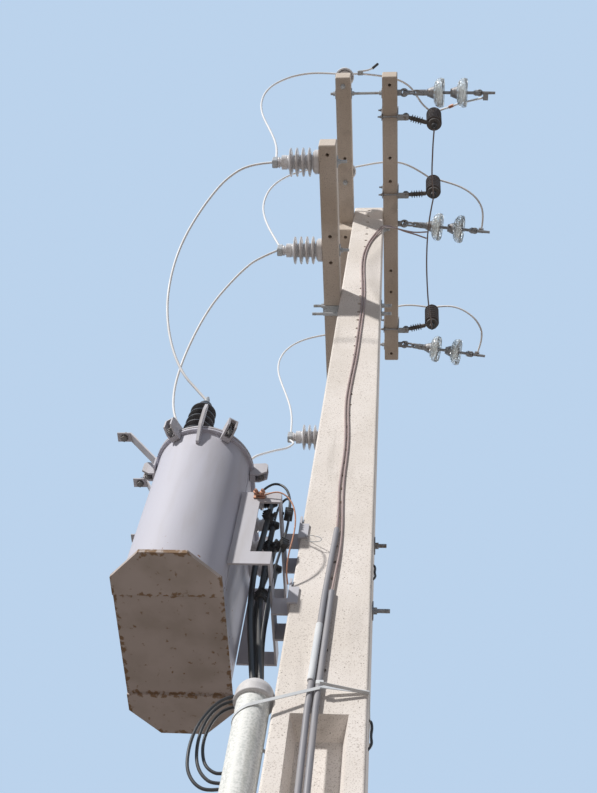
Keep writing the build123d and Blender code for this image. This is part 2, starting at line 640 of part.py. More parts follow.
plate_outer_x = UPPER_FACE_X + SEAT_GAP + CLAMP_THICKNESS
bracket_z = ARRESTER_BASE_Z - SEAT_GAP - 6
brackets = []
clamps = []
tongue_top = bracket_z - 11 - SEAT_GAP
left_plate_x = upper_inner_x - SEAT_GAP - CLAMP_THICKNESS
for arm_y, arrester_y in zip(ARRESTER_ARM_YS, ARRESTER_YS):
    start = Vector(plate_outer_x + BRACKET_PIVOT, arm_y, bracket_z)
    end = Vector(ARRESTER_X, arrester_y, bracket_z)
    reach = (end - start).length
    line = Plane(start, x_dir=end - start, z_dir=(0, 0, 1))
    with BuildPart() as bracket:
        Cylinder(21, 22)
        with BuildSketch(Plane.XY):
            with BuildLine():
                core = BRACKET_CORE / 2
                rib = BRACKET_RIB / 2
                points = [(0, 0), (0, 11), (24, 11), (28, core)]
                for i in range(5):
                    root = 34 + i * 15
                    points += [(root, core), (root + 2, rib), (root + 5, rib), (root + 7, core)]
                points += [(reach - 48, core), (reach - 40, 6), (reach - 30, 6), (reach - 30, 0)]
                Polyline(*points, close=True)
            make_face()
        revolve(axis=Axis.X)
        with Locations((reach, 0, 0)):
            Cylinder(ARRESTER_CORE / 2 + 6, 12)
    brackets.append(bracket.part.moved(line.location))
    with BuildPart() as clamp:
        with Locations((left_plate_x, arm_y, UPPER_ARM_Z)):
            Box(
                CLAMP_THICKNESS, CLAMP_WIDTH, ARM_HEIGHT + 46,
                align=(Align.MIN, Align.CENTER, Align.CENTER),
            )
        with Locations((UPPER_FACE_X + SEAT_GAP, arm_y, tongue_top - 6)):
            Box(
                CLAMP_THICKNESS, CLAMP_WIDTH, upper_top_z + 23 - tongue_top + 6,
                align=(Align.MIN, Align.CENTER, Align.MIN),
            )
        with Locations((UPPER_FACE_X + SEAT_GAP, arm_y, tongue_top)):
            Box(BRACKET_PIVOT + 22, CLAMP_WIDTH - 4, 6, align=(Align.MIN, Align.CENTER, Align.MAX))
        rod_places = [(arm_y, upper_top_z + 11), (arm_y, upper_bottom_z - 11)]
        with BuildSketch(Plane.YZ.offset(left_plate_x - 22)):
            with Locations(*rod_places):
                Circle(5)
        extrude(amount=UPPER_FACE_X + SEAT_GAP - left_plate_x + 22)
        with BuildSketch(Plane.YZ.offset(left_plate_x)):
            with Locations(*rod_places):
                RegularPolygon(9, 6)
        extrude(amount=-9)
    clamps.append(clamp.part)
save("arrester_brackets", *brackets)
save("arrester_clamps", *clamps)


# Transformer tank
def obround(radius, length):
    """Half-round-ended outline with its long axis along Y, in the open sketch."""
    SlotOverall(length, 2 * radius, rotation=90)


tank_top = TANK_BOTTOM + TANK_HEIGHT
with BuildPart() as tank:
    with BuildSketch(Plane((TANK_X, 0, TANK_BOTTOM))):
        obround(TANK_RADIUS, TANK_LENGTH)
    extrude(amount=TANK_HEIGHT)
    with BuildSketch(Plane((TANK_X, 0, tank_top - RIM_THICKNESS))):
        obround(TANK_RADIUS + RIM_OVERHANG, TANK_LENGTH + 2 * RIM_OVERHANG)
    extrude(amount=RIM_THICKNESS)
save("tank", tank.part)

with BuildPart() as gasket:
    with BuildSketch(Plane((TANK_X, 0, tank_top + SEAT_GAP))):
        obround(TANK_RADIUS + RIM_OVERHANG - 4, TANK_LENGTH + 2 * RIM_OVERHANG - 8)
        SlotOverall(TANK_LENGTH - 40, 2 * TANK_RADIUS - 40, rotation=90, mode=Mode.SUBTRACT)
    extrude(amount=GASKET_THICKNESS)
save("lid_gasket", gasket.part)

lid_bottom = tank_top + 2 * SEAT_GAP + GASKET_THICKNESS
lid_top = lid_bottom + LID_THICKNESS
with BuildPart() as lid:
    with BuildSketch(Plane((TANK_X, 0, lid_bottom))):
        obround(TANK_RADIUS + RIM_OVERHANG, TANK_LENGTH + 2 * RIM_OVERHANG)
    extrude(amount=LID_THICKNESS)
    with BuildSketch(Plane((TANK_X, 0, lid_top))):
        obround(TANK_RADIUS - 12, TANK_LENGTH - 24)
    extrude(amount=LID_CROWN, taper=35)
save("lid", lid.part)

base_top = TANK_BOTTOM - SEAT_GAP
base_bottom = base_top - BASE_THICKNESS


def octagon_points(width, length, corner):
    """The eight corners of a rectangle with cut corners."""
    half_w, half_l = width / 2, length / 2
    return [
        (-half_w + corner, -half_l), (half_w - corner, -half_l), (half_w, -half_l + corner),
        (half_w, half_l - corner), (half_w - corner, half_l), (-half_w + corner, half_l),
        (-half_w, half_l - corner), (-half_w, -half_l + corner),
    ]


with BuildPart() as base_plate:
    with BuildSketch(Plane((TANK_X, 0, base_bottom))):
        with BuildLine():
            Polyline(*octagon_points(BASE_WIDTH, BASE_LENGTH, BASE_CORNER), close=True)
        make_face()
    extrude(amount=BASE_THICKNESS)
save("base_plate", base_plate.part)
end_panels = []
for side in (-1, 1):
    with BuildPart() as end_panel:
        with BuildSketch(Plane((TANK_X, 0, base_bottom - SEAT_GAP))):
            with BuildLine():
                Polyline(
                    (-BASE_WIDTH / 2, side * END_PANEL_START), (BASE_WIDTH / 2, side * END_PANEL_START),
                    (BASE_WIDTH / 2, side * (BASE_LENGTH / 2 - BASE_CORNER)),
                    (BASE_WIDTH / 2 - BASE_CORNER, side * BASE_LENGTH / 2),
                    (-BASE_WIDTH / 2 + BASE_CORNER, side * BASE_LENGTH / 2),
                    (-BASE_WIDTH / 2, side * (BASE_LENGTH / 2 - BASE_CORNER)), close=True,
                )
            make_face()
        extrude(amount=-END_PANEL_DROP)
    end_panels.append(end_panel.part)
save("base_end_panels", *end_panels)

# Lid clamps: C-shaped channels over the lid and the tank's rim, each of two cheeks and a back
cap_centre = TANK_LENGTH / 2 - TANK_RADIUS


def round_end(side, angle):
    """Place on the tank's wall at a round end, its X axis pointing outwards."""
    turn = side * 90 + angle
    x = TANK_X + TANK_RADIUS * cos(radians(turn))
    y = side * cap_centre + TANK_RADIUS * sin(radians(turn))
    return Location((x, y, tank_top), (0, 0, turn))


clamp_places = [round_end(side, angle) for side in (-1, 1) for angle in (-END_CLAMP_ANGLE, END_CLAMP_ANGLE)]
for side, turn in ((-1, 180), (1, 0)):
    for y in (-SIDE_CLAMP_Y, SIDE_CLAMP_Y):
        clamp_places.append(Location((TANK_X + side * TANK_RADIUS, y, tank_top), (0, 0, turn)))
rim_under = -RIM_THICKNESS - SEAT_GAP
rim_over = lid_top - tank_top + SEAT_GAP
clamp_end = RIM_OVERHANG + LID_CLAMP_REACH
with BuildPart() as lid_clamp:
    with BuildSketch(Plane.XZ.offset(-LID_CLAMP_WIDTH / 2)):
        with BuildLine():
            Polyline(
                (3, rim_under), (3, rim_under - 30), (clamp_end - 30, rim_under - 30),
                (clamp_end, rim_under - 8),
                (clamp_end, rim_over + 18), (clamp_end - 10, rim_over + 28), (-6, rim_over + 22),
                (-6, rim_over),
                (RIM_OVERHANG + SEAT_GAP, rim_over), (RIM_OVERHANG + SEAT_GAP, rim_under), close=True,
            )
        make_face()
    extrude(amount=LID_CLAMP_WIDTH)
    with Locations((RIM_OVERHANG + 10, 0, rim_over + 12)):
        Box(
            LID_CLAMP_REACH, LID_CLAMP_WIDTH - 2 * LID_CLAMP_CHEEK, 100,
            align=(Align.MIN, Align.CENTER, Align.MAX), mode=Mode.SUBTRACT,
        )
# Upright lugs at the middle of the lid's round ends, hooked under the rim
with BuildPart() as end_lug:
    with BuildSketch(Plane.XZ.offset(-END_LUG_THICKNESS / 2)):
        with BuildLine():
            Polyline(
                (SEAT_GAP, rim_under), (SEAT_GAP, rim_under - 90), (16, rim_under - 90),
                (RIM_OVERHANG + 26, rim_under),
                (RIM_OVERHANG + 26, rim_over + 90), (RIM_OVERHANG + 14, rim_over + END_LUG_RISE),
                (RIM_OVERHANG + SEAT_GAP, rim_over + END_LUG_RISE), (RIM_OVERHANG + SEAT_GAP, rim_under),
                close=True,
            )
        make_face()
    extrude(amount=END_LUG_THICKNESS)
save(
    "lid_clamps",
    *[lid_clamp.part.moved(place) for place in clamp_places],
    *[end_lug.part.moved(round_end(side, 0)) for side in (-1, 1)],
)

# High-voltage bushings on the lid
crown_top = lid_top + LID_CROWN
hv_radius = HV_SHED_DIAMETER / 2
hv_step = (HV_BUSHING_HEIGHT - 130) / HV_SHEDS
with BuildPart() as hv_bushing:
    with BuildSketch(Plane.XZ):
        with BuildLine():
            points = [(0, 0), (58, 0), (58, 18), (44, 26), (44, 60)]
            for i in range(HV_SHEDS):
                root = 60 + i * hv_step
                shrink = 2.5 * i
                points += [
                    (hv_radius - shrink, root + 8), (hv_radius - shrink, root + 13),
                    (38 - i, root + hv_step - 8), (38 - i, root + hv_step),
                ]
            points += [
                (30, HV_BUSHING_HEIGHT - 60), (30, HV_BUSHING_HEIGHT - 48), (9, HV_BUSHING_HEIGHT - 44),
                (9, HV_BUSHING_HEIGHT), (0, HV_BUSHING_HEIGHT),
            ]
            Polyline(*points, close=True)
        make_face()
    revolve(axis=Axis.Z)
hv_places = [Location((HV_BUSHING_X, i * HV_BUSHING_PITCH, crown_top + SEAT_GAP)) for i in (-1, 0, 1)]
save("hv_bushings", *[hv_bushing.part.moved(place) for place in hv_places])

# Low-voltage bushings on the tank's pole side
with BuildPart() as lv_bushing:
    with BuildSketch(Plane.XZ):
        with BuildLine():
            Polyline(
                (SEAT_GAP, 0), (SEAT_GAP, 34), (12, 34), (16, 26), (34, 26), (38, 32), (46, 32),
                (50, 24), (60, 24),
                (64, 30), (72, 30), (78, 20), (84, 12), (LV_BUSHING_REACH, 12), (LV_BUSHING_REACH, 0),
                close=True,
            )
        make_face()
    revolve(axis=Axis.X)
tank_side_x = TANK_X + TANK_RADIUS
lv_places = [Location((tank_side_x, (i - 1.5) * LV_BUSHING_PITCH, LV_BUSHING_Z)) for i in range(4)]
save("lv_bushings", *[lv_bushing.part.moved(place) for place in lv_places])

# Flat-bar arrester brackets on the tank's far side from the pole
bar_foot_z = tank_top - 100
tank_bars = []
for bar_y, reach in TANK_BARS:
    with BuildPart() as tank_bar:
        with BuildSketch(Plane.XZ.offset(-TANK_BAR_WIDTH / 2)):
            with BuildLine():
                Polyline(
                    (-SEAT_GAP, 0), (-SEAT_GAP, 60), (-6.3, 60), (-reach, 250), (-reach - 60, 250),
                    (-reach - 60, 244), (-reach - 3, 244), (-6.3, 50), (-6.3, 0), close=True,
                )
            make_face()
        extrude(amount=TANK_BAR_WIDTH)
    past_flat = max(abs(bar_y) - TANK_BAR_WIDTH / 2 - cap_centre, 0)
    wall_x = TANK_X - sqrt(TANK_RADIUS**2 - past_flat**2)
    tank_bars.append(tank_bar.part.moved(Location((wall_x, bar_y, bar_foot_z))))
save("tank_bars", *tank_bars)

# Hanger: two C-shaped plates joined by two webs
with BuildPart() as hanger_plate:
    with BuildSketch(Plane.XZ):
        with BuildLine():
            Polyline(
                (tank_side_x + SEAT_GAP, HANGER_BOTTOM), (HANGER_REACH_X - HANGER_THICKNESS, HANGER_BOTTOM),
                (HANGER_REACH_X - HANGER_THICKNESS, HANGER_BOTTOM + HANGER_LOWER_ARM),
                (tank_side_x + 75, HANGER_BOTTOM + HANGER_LOWER_ARM),
                (tank_side_x + 75, HANGER_TOP - HANGER_UPPER_ARM),
                (HANGER_REACH_X - HANGER_THICKNESS, HANGER_TOP - HANGER_UPPER_ARM),
                (HANGER_REACH_X - HANGER_THICKNESS, HANGER_TOP), (tank_side_x + SEAT_GAP, HANGER_TOP),
                close=True,
            )
        make_face()
    extrude(amount=HANGER_THICKNESS / 2, both=True)
plate_y = HANGER_Y - HANGER_THICKNESS / 2
save("hanger_plates", *[hanger_plate.part.moved(Location((0, y, 0))) for y in (-plate_y, plate_y)])
web_ranges = (
    (HANGER_TOP - HANGER_UPPER_ARM, HANGER_TOP),
    (HANGER_BOTTOM, HANGER_BOTTOM + HANGER_LOWER_ARM),
)
webs = []
for low, high in web_ranges:
    with BuildPart() as web:
        with Locations((HANGER_REACH_X - HANGER_THICKNESS / 2, 0, (low + high) / 2)):
            Box(HANGER_THICKNESS, 2 * HANGER_Y, high - low)
    webs.append(web.part)
save("hanger_webs", *webs)

# Supports on the pole: channels with lips round the pole's edges
supports = []
support_bolts = []
bolt_ends = (190.0, 212.0)
for bolt_z, bolt_end in zip(SUPPORT_BOLT_ZS, bolt_ends):
    centre = bolt_z - SUPPORT_DROP
    low = centre - SUPPORT_HEIGHT / 2
    high = bolt_z + 34
    back_x = -half_width(low) - SEAT_GAP
    side_y = half_depth(low) + SEAT_GAP
    end_x = HANGER_REACH_X + SEAT_GAP
    with BuildPart() as support:
        with Locations((back_x - SUPPORT_THICKNESS / 2, 0, (low + high) / 2)):
            Box(SUPPORT_THICKNESS, 2 * side_y + 2 * SUPPORT_THICKNESS, high - low)
        for side in (-1, 1):
            with Locations((back_x - SUPPORT_THICKNESS, side * side_y, low)):
                Box(
                    SUPPORT_LIP + SUPPORT_THICKNESS, SUPPORT_THICKNESS, SUPPORT_HEIGHT,
                    align=(Align.MIN, Align.MIN if side > 0 else Align.MAX, Align.MIN),
                )
            with Locations((end_x, side * SUPPORT_HALF_LENGTH, centre)):
                Box(
                    back_x - end_x - SUPPORT_THICKNESS / 2, SUPPORT_THICKNESS, SUPPORT_HEIGHT,
                    align=(Align.MIN, Align.CENTER, Align.CENTER),
                )
        with Locations((end_x, 0, centre)):
            Box(
                SUPPORT_THICKNESS, 2 * SUPPORT_HALF_LENGTH + SUPPORT_THICKNESS, SUPPORT_HEIGHT,
                align=(Align.MIN, Align.CENTER, Align.CENTER),
            )
        with BuildSketch(Plane.YZ.offset(back_x - SUPPORT_THICKNESS)):
            with Locations((0, bolt_z)):
                Circle(HOLE_DIAMETER / 2)
        extrude(amount=SUPPORT_THICKNESS, mode=Mode.SUBTRACT)
    supports.append(support.part)
    support_bolts.append(
        through_bolt(
            0, bolt_z, back_x - 40, bolt_end,
            [outer(back_x - SUPPORT_THICKNESS, -1), outer(half_width(bolt_z - WASHER_SIZE / 2), 1)],
        )
    )
save("pole_supports", *supports)
save("support_bolts", *support_bolts)

# Riser pipe beside the pole, leaning with the pole's side face
cap_radius = CAP_DIAMETER / 2
riser_radius = RISER_DIAMETER / 2
riser_top_x = -half_width(RISER_TOP - CAP_SKIRT) - SEAT_GAP - cap_radius
riser_foot_x = riser_top_x - half_width(0) + half_width(RISER_TOP)
riser_axis = Vector(riser_top_x - riser_foot_x, 0, RISER_TOP)
riser_plane = Plane((riser_foot_x, RISER_Y, 0), x_dir=(0, 1, 0), z_dir=riser_axis)
with BuildPart() as riser:
    with BuildSketch(riser_plane.offset(RISER_FOOT)):
        Circle(riser_radius)
    extrude(amount=riser_axis.length - RISER_FOOT)
save("riser_pipe", riser.part)
with BuildPart() as riser_cap:
    with BuildSketch(Plane.XZ):
        with BuildLine():
            Polyline((riser_radius + 1.2, -CAP_SKIRT), (cap_radius, -CAP_SKIRT), (cap_radius, 6))
            ThreePointArc((cap_radius, 6), (cap_radius - 18, 42), (CAP_MOUTH, CAP_HEIGHT - 6))
            Polyline(
                (CAP_MOUTH, CAP_HEIGHT - 6), (CAP_MOUTH, CAP_HEIGHT), (0, CAP_HEIGHT), (0, 1.2),
                (riser_radius + 1.2, 1.2), (riser_radius + 1.2, -CAP_SKIRT),
            )
        make_face()
    revolve(axis=Axis.Z)
save("riser_cap", riser_cap.part.moved(Location((riser_top_x, RISER_Y, RISER_TOP))))

# Conduits down the pole's front face
conduits = []
stand = CONDUIT_DIAMETER / 2 + SEAT_GAP
for route in CONDUIT_ROUTES:
    points = [Vector(x, -half_depth(z) - stand, z) for x, z in route]
    with BuildPart() as conduit:
        with BuildLine() as run:
            FilletPolyline(*points, radius=CONDUIT_BEND_RADIUS)
        with BuildSketch(Plane(points[0], z_dir=points[1] - points[0])):
            Circle(CONDUIT_DIAMETER / 2)
        sweep(path=run.wire())
    conduits.append(conduit.part)
save("conduits", *conduits)

# Strap round the pole, the riser and the conduits, level on the pole and sloping down to the riser
strap_riser_x = riser_top_x - STRAP_SLOPE * half_width(STRAP_Z) * riser_axis.X / riser_axis.Z
strap_reach = 2 * RISER_DIAMETER + half_width(STRAP_Z)
strap_end_z = STRAP_Z - STRAP_SLOPE * (strap_reach + STRAP_BEND_X)
with BuildPart() as strap:
    for grow, mode in ((SEAT_GAP + STRAP_THICKNESS, Mode.ADD), (SEAT_GAP, Mode.SUBTRACT)):
        with BuildSketch(Plane.XY.offset(strap_end_z)):
            with BuildSketch(mode=Mode.PRIVATE) as wrapped:
                Rectangle(2 * half_width(strap_end_z), 2 * half_depth(strap_end_z))
                with Locations((strap_riser_x, RISER_Y)):
                    Circle(riser_radius + 1)
                for route in CONDUIT_ROUTES:
                    with Locations((route[-1][0], -half_depth(strap_end_z) - stand)):
                        Circle(CONDUIT_DIAMETER / 2)
                make_hull()
            offset(wrapped.sketch, amount=grow, kind=Kind.ARC)
        extrude(amount=STRAP_Z - strap_end_z + STRAP_WIDTH, mode=mode)
    with BuildSketch(Plane.XZ.offset(-strap_reach)):
        with BuildLine():
            Polyline(
                (-strap_reach, strap_end_z - STRAP_WIDTH / 2), (STRAP_BEND_X, STRAP_Z - STRAP_WIDTH / 2),
                (strap_reach, STRAP_Z - STRAP_WIDTH / 2), (strap_reach, STRAP_Z + STRAP_WIDTH / 2),
                (STRAP_BEND_X, STRAP_Z + STRAP_WIDTH / 2), (-strap_reach, strap_end_z + STRAP_WIDTH / 2),
                close=True,
            )
        make_face()
    extrude(amount=2 * strap_reach, mode=Mode.INTERSECT)
save("strap", strap.part)


# Wires and cables
def cord(name, points, diameter, start=None, end=None):
    """Write a wire as straight runs joined by tangent arcs, and print its bends and length.

    An end that meets a flat fitting is cut along it: start and end are the directions into the fitting.
    """
    vectors = [Vector(*point) for point in points]
    tails = [vectors[0] + (vectors[0] - vectors[1]).normalized() * (diameter if start else 0)]
    tails.append(vectors[-1] + (vectors[-1] - vectors[-2]).normalized() * (diameter if end else 0))
    path = [tails[0], *vectors[1:-1], tails[1]]
    radii = []
    for before, here, after in zip(path, path[1:], path[2:]):
        turn = (here - before).get_angle(after - here)
        shorter = min((here - before).length, (after - here).length)
        radii.append(0.45 * shorter / tan(radians(turn) / 2))
    with BuildPart() as wire:
        with BuildLine() as route:
            FilletPolyline(*path, radius=radii)
        with BuildSketch(Plane(path[0], z_dir=path[1] - path[0])):
            Circle(diameter / 2)
        sweep(path=route.wire())
        for at, into in ((vectors[0], start), (vectors[-1], end)):
            if into:
                split(bisect_by=Plane(at, z_dir=into), keep=Keep.BOTTOM)
    length = route.wire().length - sum(diameter for into in (start, end) if into)
    fill = wire.part.volume / (length * diameter * diameter * 0.785398)
    runs = [(b - a).length for a, b in zip(vectors, vectors[1:])]
    print(
        f"{name}: length {length:.0f}, tightest {min(radii):.0f}, "
        f"longest run {max(runs):.0f}, fill {fill:.4f}"
    )
    save(name, wire.part)


TO_LEFT, TO_RIGHT = (-1, 0, 0), (1, 0, 0)
TO_FRONT, TO_BACK = (0, -1, 0), (0, 1, 0)
DOWN, UP = (0, 0, -1), (0, 0, 1)
groove_z = head_z + PIN_HEAD_HEIGHT - PIN_GROOVE_DROP
groove_reach = PIN_GROOVE_RADIUS + SEAT_GAP
pin_left_x = -UPPER_ARM_X - groove_reach
pin_right_x = -UPPER_ARM_X + groove_reach
clamp_top = LOWER_ARM_Z + POST_CLAMP_HALF + SEAT_GAP
clamp_foot = LOWER_ARM_Z - POST_CLAMP_HALF - SEAT_GAP
clamp_mid_x = post_end_x - SEAT_GAP - POST_CLAMP_REACH / 2
clamp_face_x = post_end_x - 2 * SEAT_GAP - POST_CLAMP_REACH
hv_top = crown_top + 2 * SEAT_GAP + HV_BUSHING_HEIGHT

cord("jumper_1_upper", [
    (pin_left_x, PIN_YS[0], groove_z), (-240, -900, 9432), (-345, -899, 9452), (-460, -892, 9420),
    (-560, -882, 9300),
    (-607, -872, 9145), (-613, -862, 8980), (-595, -853, 8820), (-557, -846, 8660), (-510, -839, 8500),
    (-468, -833, 8340), (-440, -829, 8180), (clamp_mid_x, post_ys[0], clamp_top),
], JUMPER_DIAMETER, TO_RIGHT, DOWN)
cord("jumper_1_lower", [
    (clamp_face_x, post_ys[0], LOWER_ARM_Z), (-575, -810, 8032), (-695, -750, 7975), (-768, -692, 7845),
    (-820, -643, 7700), (-858, -597, 7545), (-880, -550, 7390), (-886, -500, 7230), (-876, -452, 7070),
    (-848, -402, 6920), (-803, -352, 6774), (-740, -308, 6646), (-668, -272, 6570),
    (HV_BUSHING_X, -HV_BUSHING_PITCH, hv_top),
], JUMPER_DIAMETER, TO_RIGHT, DOWN)
cord("jumper_2_upper", [
    (pin_left_x, PIN_YS[1], groove_z), (-245, -300, 9442), (-332, -301, 9412), (-462, -304, 9320),
    (-546, -309, 9178),
    (-592, -314, 9015), (-606, -318, 8845), (-601, -322, 8675), (-574, -326, 8508), (-533, -329, 8343),
    (-483, -331, 8185), (clamp_mid_x, post_ys[1], clamp_top),
], JUMPER_DIAMETER, TO_RIGHT, DOWN)
cord("jumper_2_lower", [
    (clamp_face_x, post_ys[1], LOWER_ARM_Z), (-552, -312, 7935), (-614, -288, 7852), (-667, -262, 7762),
    (-742, -220, 7605),
    (-790, -180, 7445), (-826, -138, 7282), (-852, -94, 7115), (-861, -50, 6948), (-838, -16, 6788),
    (-772, 4, 6650), (-688, 6, 6572), (HV_BUSHING_X, 0, hv_top),
], JUMPER_DIAMETER, TO_RIGHT, DOWN)
cord("jumper_3_upper", [
    (pin_left_x, PIN_YS[2], groove_z), (-245, 899, 9438), (-330, 897, 9414), (-468, 891, 9332),
    (-560, 884, 9195),
    (-598, 876, 9025), (-592, 869, 8850), (-555, 863, 8688), (-508, 858, 8525), (-464, 855, 8358),
    (-438, 853, 8190), (clamp_mid_x, post_ys[2], clamp_top),
], JUMPER_DIAMETER, TO_RIGHT, DOWN)
cord("jumper_3_lower", [
    (clamp_mid_x, post_ys[2], clamp_foot), (-400, 815, 7880), (-392, 762, 7782), (-391, 708, 7675),
    (-397, 655, 7570), (-408, 600, 7468), (-428, 532, 7350), (-449, 456, 7209), (-469, 385, 7078),
    (-489, 325, 6961),
    (-512, 290, 6850), (-540, 262, 6735), (-578, 250, 6620), (HV_BUSHING_X, HV_BUSHING_PITCH, hv_top),
], JUMPER_DIAMETER, UP, DOWN)
terminal_z = ARRESTER_BASE_Z + ARRESTER_HEIGHT + TERMINAL_HEIGHT / 2
terminal_reach = TERMINAL_RADIUS + SEAT_GAP
line_inner_x = ARRESTER_X - terminal_reach
line_outer_x = ARRESTER_X + terminal_reach
cord("line_jumper_1", [
    (pin_right_x, PIN_YS[0], groove_z), (-46, -897, 9417), (30, -888, 9420), (115, -874, 9421),
    (197, -852, 9420),
    (262, -810, 9418), (303, -748, 9412), (344, -692, 9396), (line_inner_x, ARRESTER_YS[0], terminal_z),
], JUMPER_DIAMETER, TO_LEFT, TO_RIGHT)
cord("line_jumper_2", [
    (pin_right_x, PIN_YS[1], groove_z), (-35, -312, 9416), (60, -328, 9419), (180, -334, 9421),
    (296, -292, 9404),
    (line_inner_x, ARRESTER_YS[1], terminal_z),
], JUMPER_DIAMETER, TO_LEFT, TO_RIGHT)
cord("line_jumper_3", [
    (pin_right_x, PIN_YS[2], groove_z), (-52, 862, 9420), (0, 800, 9425), (82, 724, 9424), (182, 674, 9412),
    (296, 662, 9396), (line_inner_x, ARRESTER_YS[2], terminal_z),
], JUMPER_DIAMETER, TO_LEFT, TO_RIGHT)


def tap_point(number, lift, aside):
    """A point beside the tap connector of a string, from its middle on the string's line."""
    drop, drift = STRING_DROPS[number], STRING_DRIFTS[number]
    line = Vector(STRING_REACH, drift, -drop).normalized()
    up = Vector(drop, 0, STRING_REACH).normalized()
    pivot = Vector(UPPER_FACE_X + shackle_pin_x, STRING_STARTS[number], UPPER_ARM_Z)
    point = pivot + line * (tap_x - shackle_pin_x) + up * lift
    point += line * aside[0] + Vector(0, 1, 0) * aside[1]
    return (point.X, point.Y, point.Z)


tap_top = TAP_REACH + SEAT_GAP + JUMPER_DIAMETER / 2
tap_line = Vector(STRING_REACH, STRING_DRIFTS[0], -STRING_DROPS[0]).normalized()
cord("arrester_tail_1", [
    (line_outer_x, ARRESTER_YS[0], terminal_z), (455, -683, 9362), (500, -709, 9318), (552, -744, 9272),
    (628, -779, 9214), tap_point(0, 0, (-tap_half - SEAT_GAP, TAP_REACH + 6)),
], JUMPER_DIAMETER, TO_LEFT, (tap_line.X, tap_line.Y, tap_line.Z))
cord("arrester_tail_2", [
    (line_outer_x, ARRESTER_YS[1], terminal_z), (508, -213, 9352), (606, -190, 9302), (688, -138, 9246),
    (722, -60, 9188), tap_point(1, tap_top, (0, 0)),
], JUMPER_DIAMETER, TO_LEFT)
cord("arrester_tail_3", [
    (line_outer_x, ARRESTER_YS[2], terminal_z), (512, 642, 9352), (618, 652, 9298), (706, 704, 9236),
    (745, 792, 9180), tap_point(2, tap_top, (0, 0)),
], JUMPER_DIAMETER, TO_LEFT)

# Earth wires
stud_radius = 5.0
stud_z = ARRESTER_BASE_Z + arm_ring_bottom - 60
stud_side = stud_radius + SEAT_GAP
cord("arrester_earth_1", [
    (ARRESTER_X, ARRESTER_YS[0] + stud_side, stud_z), (ARRESTER_X - 6, -592, 9040),
    (ARRESTER_X - 9, -505, 9028),
    (ARRESTER_X - 12, -402, 9029), (ARRESTER_X - 8, -312, 9042),
    (ARRESTER_X, ARRESTER_YS[1] - stud_side, stud_z),
], EARTH_DIAMETER, TO_FRONT, TO_BACK)
cord("arrester_earth_2", [
    (ARRESTER_X, ARRESTER_YS[1] + stud_side, stud_z), (ARRESTER_X - 18, -135, 9048),
    (ARRESTER_X - 32, -20, 9041),
    (ARRESTER_X - 38, 100, 9042), (ARRESTER_X - 39, 225, 9041), (ARRESTER_X - 34, 350, 9043),
    (ARRESTER_X - 27, 465, 9040), (ARRESTER_X - 14, 575, 9047),
    (ARRESTER_X, ARRESTER_YS[2] - stud_side, stud_z),
], EARTH_DIAMETER, TO_FRONT, TO_BACK)
front_y = EARTH_DIAMETER / 2 + SEAT_GAP
tapped_x = ARRESTER_X - 40.3


def on_front(x, z, lift=0):
    """A point of an earth wire that lies on the pole's front face."""
    return (x, -half_depth(z) - front_y - lift, z)


def conduit_mouth(number):
    """Centre of a conduit's upper end."""
    x, z = CONDUIT_ROUTES[number][0]
    return (x, -half_depth(z) - stand, z + SEAT_GAP)


cord("pole_earth_1", [
    (tapped_x, 36, 9042), (300, 16, 9056), (238, 4, 9070), (178, -22, 9068), (128, -56, 9028),
    on_front(88, 8955, 5), on_front(54, 8850, 2), on_front(24, 8740), on_front(4, 8630), on_front(-8, 8515),
    on_front(-11, 8395), on_front(-7, 8270), on_front(0, 8145), on_front(6, 8020), on_front(10, 7895),
    on_front(11, 7770), on_front(9, 7645), on_front(6, 7520), on_front(4, 7395), on_front(1, 7270),
    on_front(-4, 7145), on_front(-11, 7020), on_front(-17, 6895), on_front(-20, 6770), on_front(-16, 6645),
    on_front(-8, 6520), on_front(-3, 6395), on_front(-4, 6270), on_front(-8, 6145), on_front(-9, 6020),
    on_front(-4, 5910, 3), on_front(-1, 5820, 6), conduit_mouth(0),
], EARTH_DIAMETER, TO_RIGHT)
cord("pole_earth_2", [
    (tapped_x + 2.5, -8, 9041), (304, -6, 9032), (244, -14, 9038), (190, -34, 9027), (144, -62, 8992),
    on_front(104, 8935, 8), on_front(70, 8840, 2), on_front(38, 8745), on_front(18, 8635),
    on_front(6, 8520),
    on_front(3, 8400), on_front(7, 8275), on_front(14, 8150), on_front(20, 8025), on_front(24, 7900),
    on_front(25, 7775), on_front(23, 7650), on_front(20, 7525), on_front(18, 7400), on_front(15, 7275),
    on_front(10, 7150), on_front(3, 7025), on_front(-3, 6900), on_front(-6, 6775), on_front(-2, 6650),
    on_front(6, 6525), on_front(11, 6400), on_front(10, 6275), on_front(7, 6150), on_front(8, 6025),
    on_front(12, 5910), on_front(18, 5795), on_front(20, 5680), on_front(17, 5570, 3), on_front(9, 5465, 6),
    conduit_mouth(1),
], EARTH_DIAMETER, TO_RIGHT)

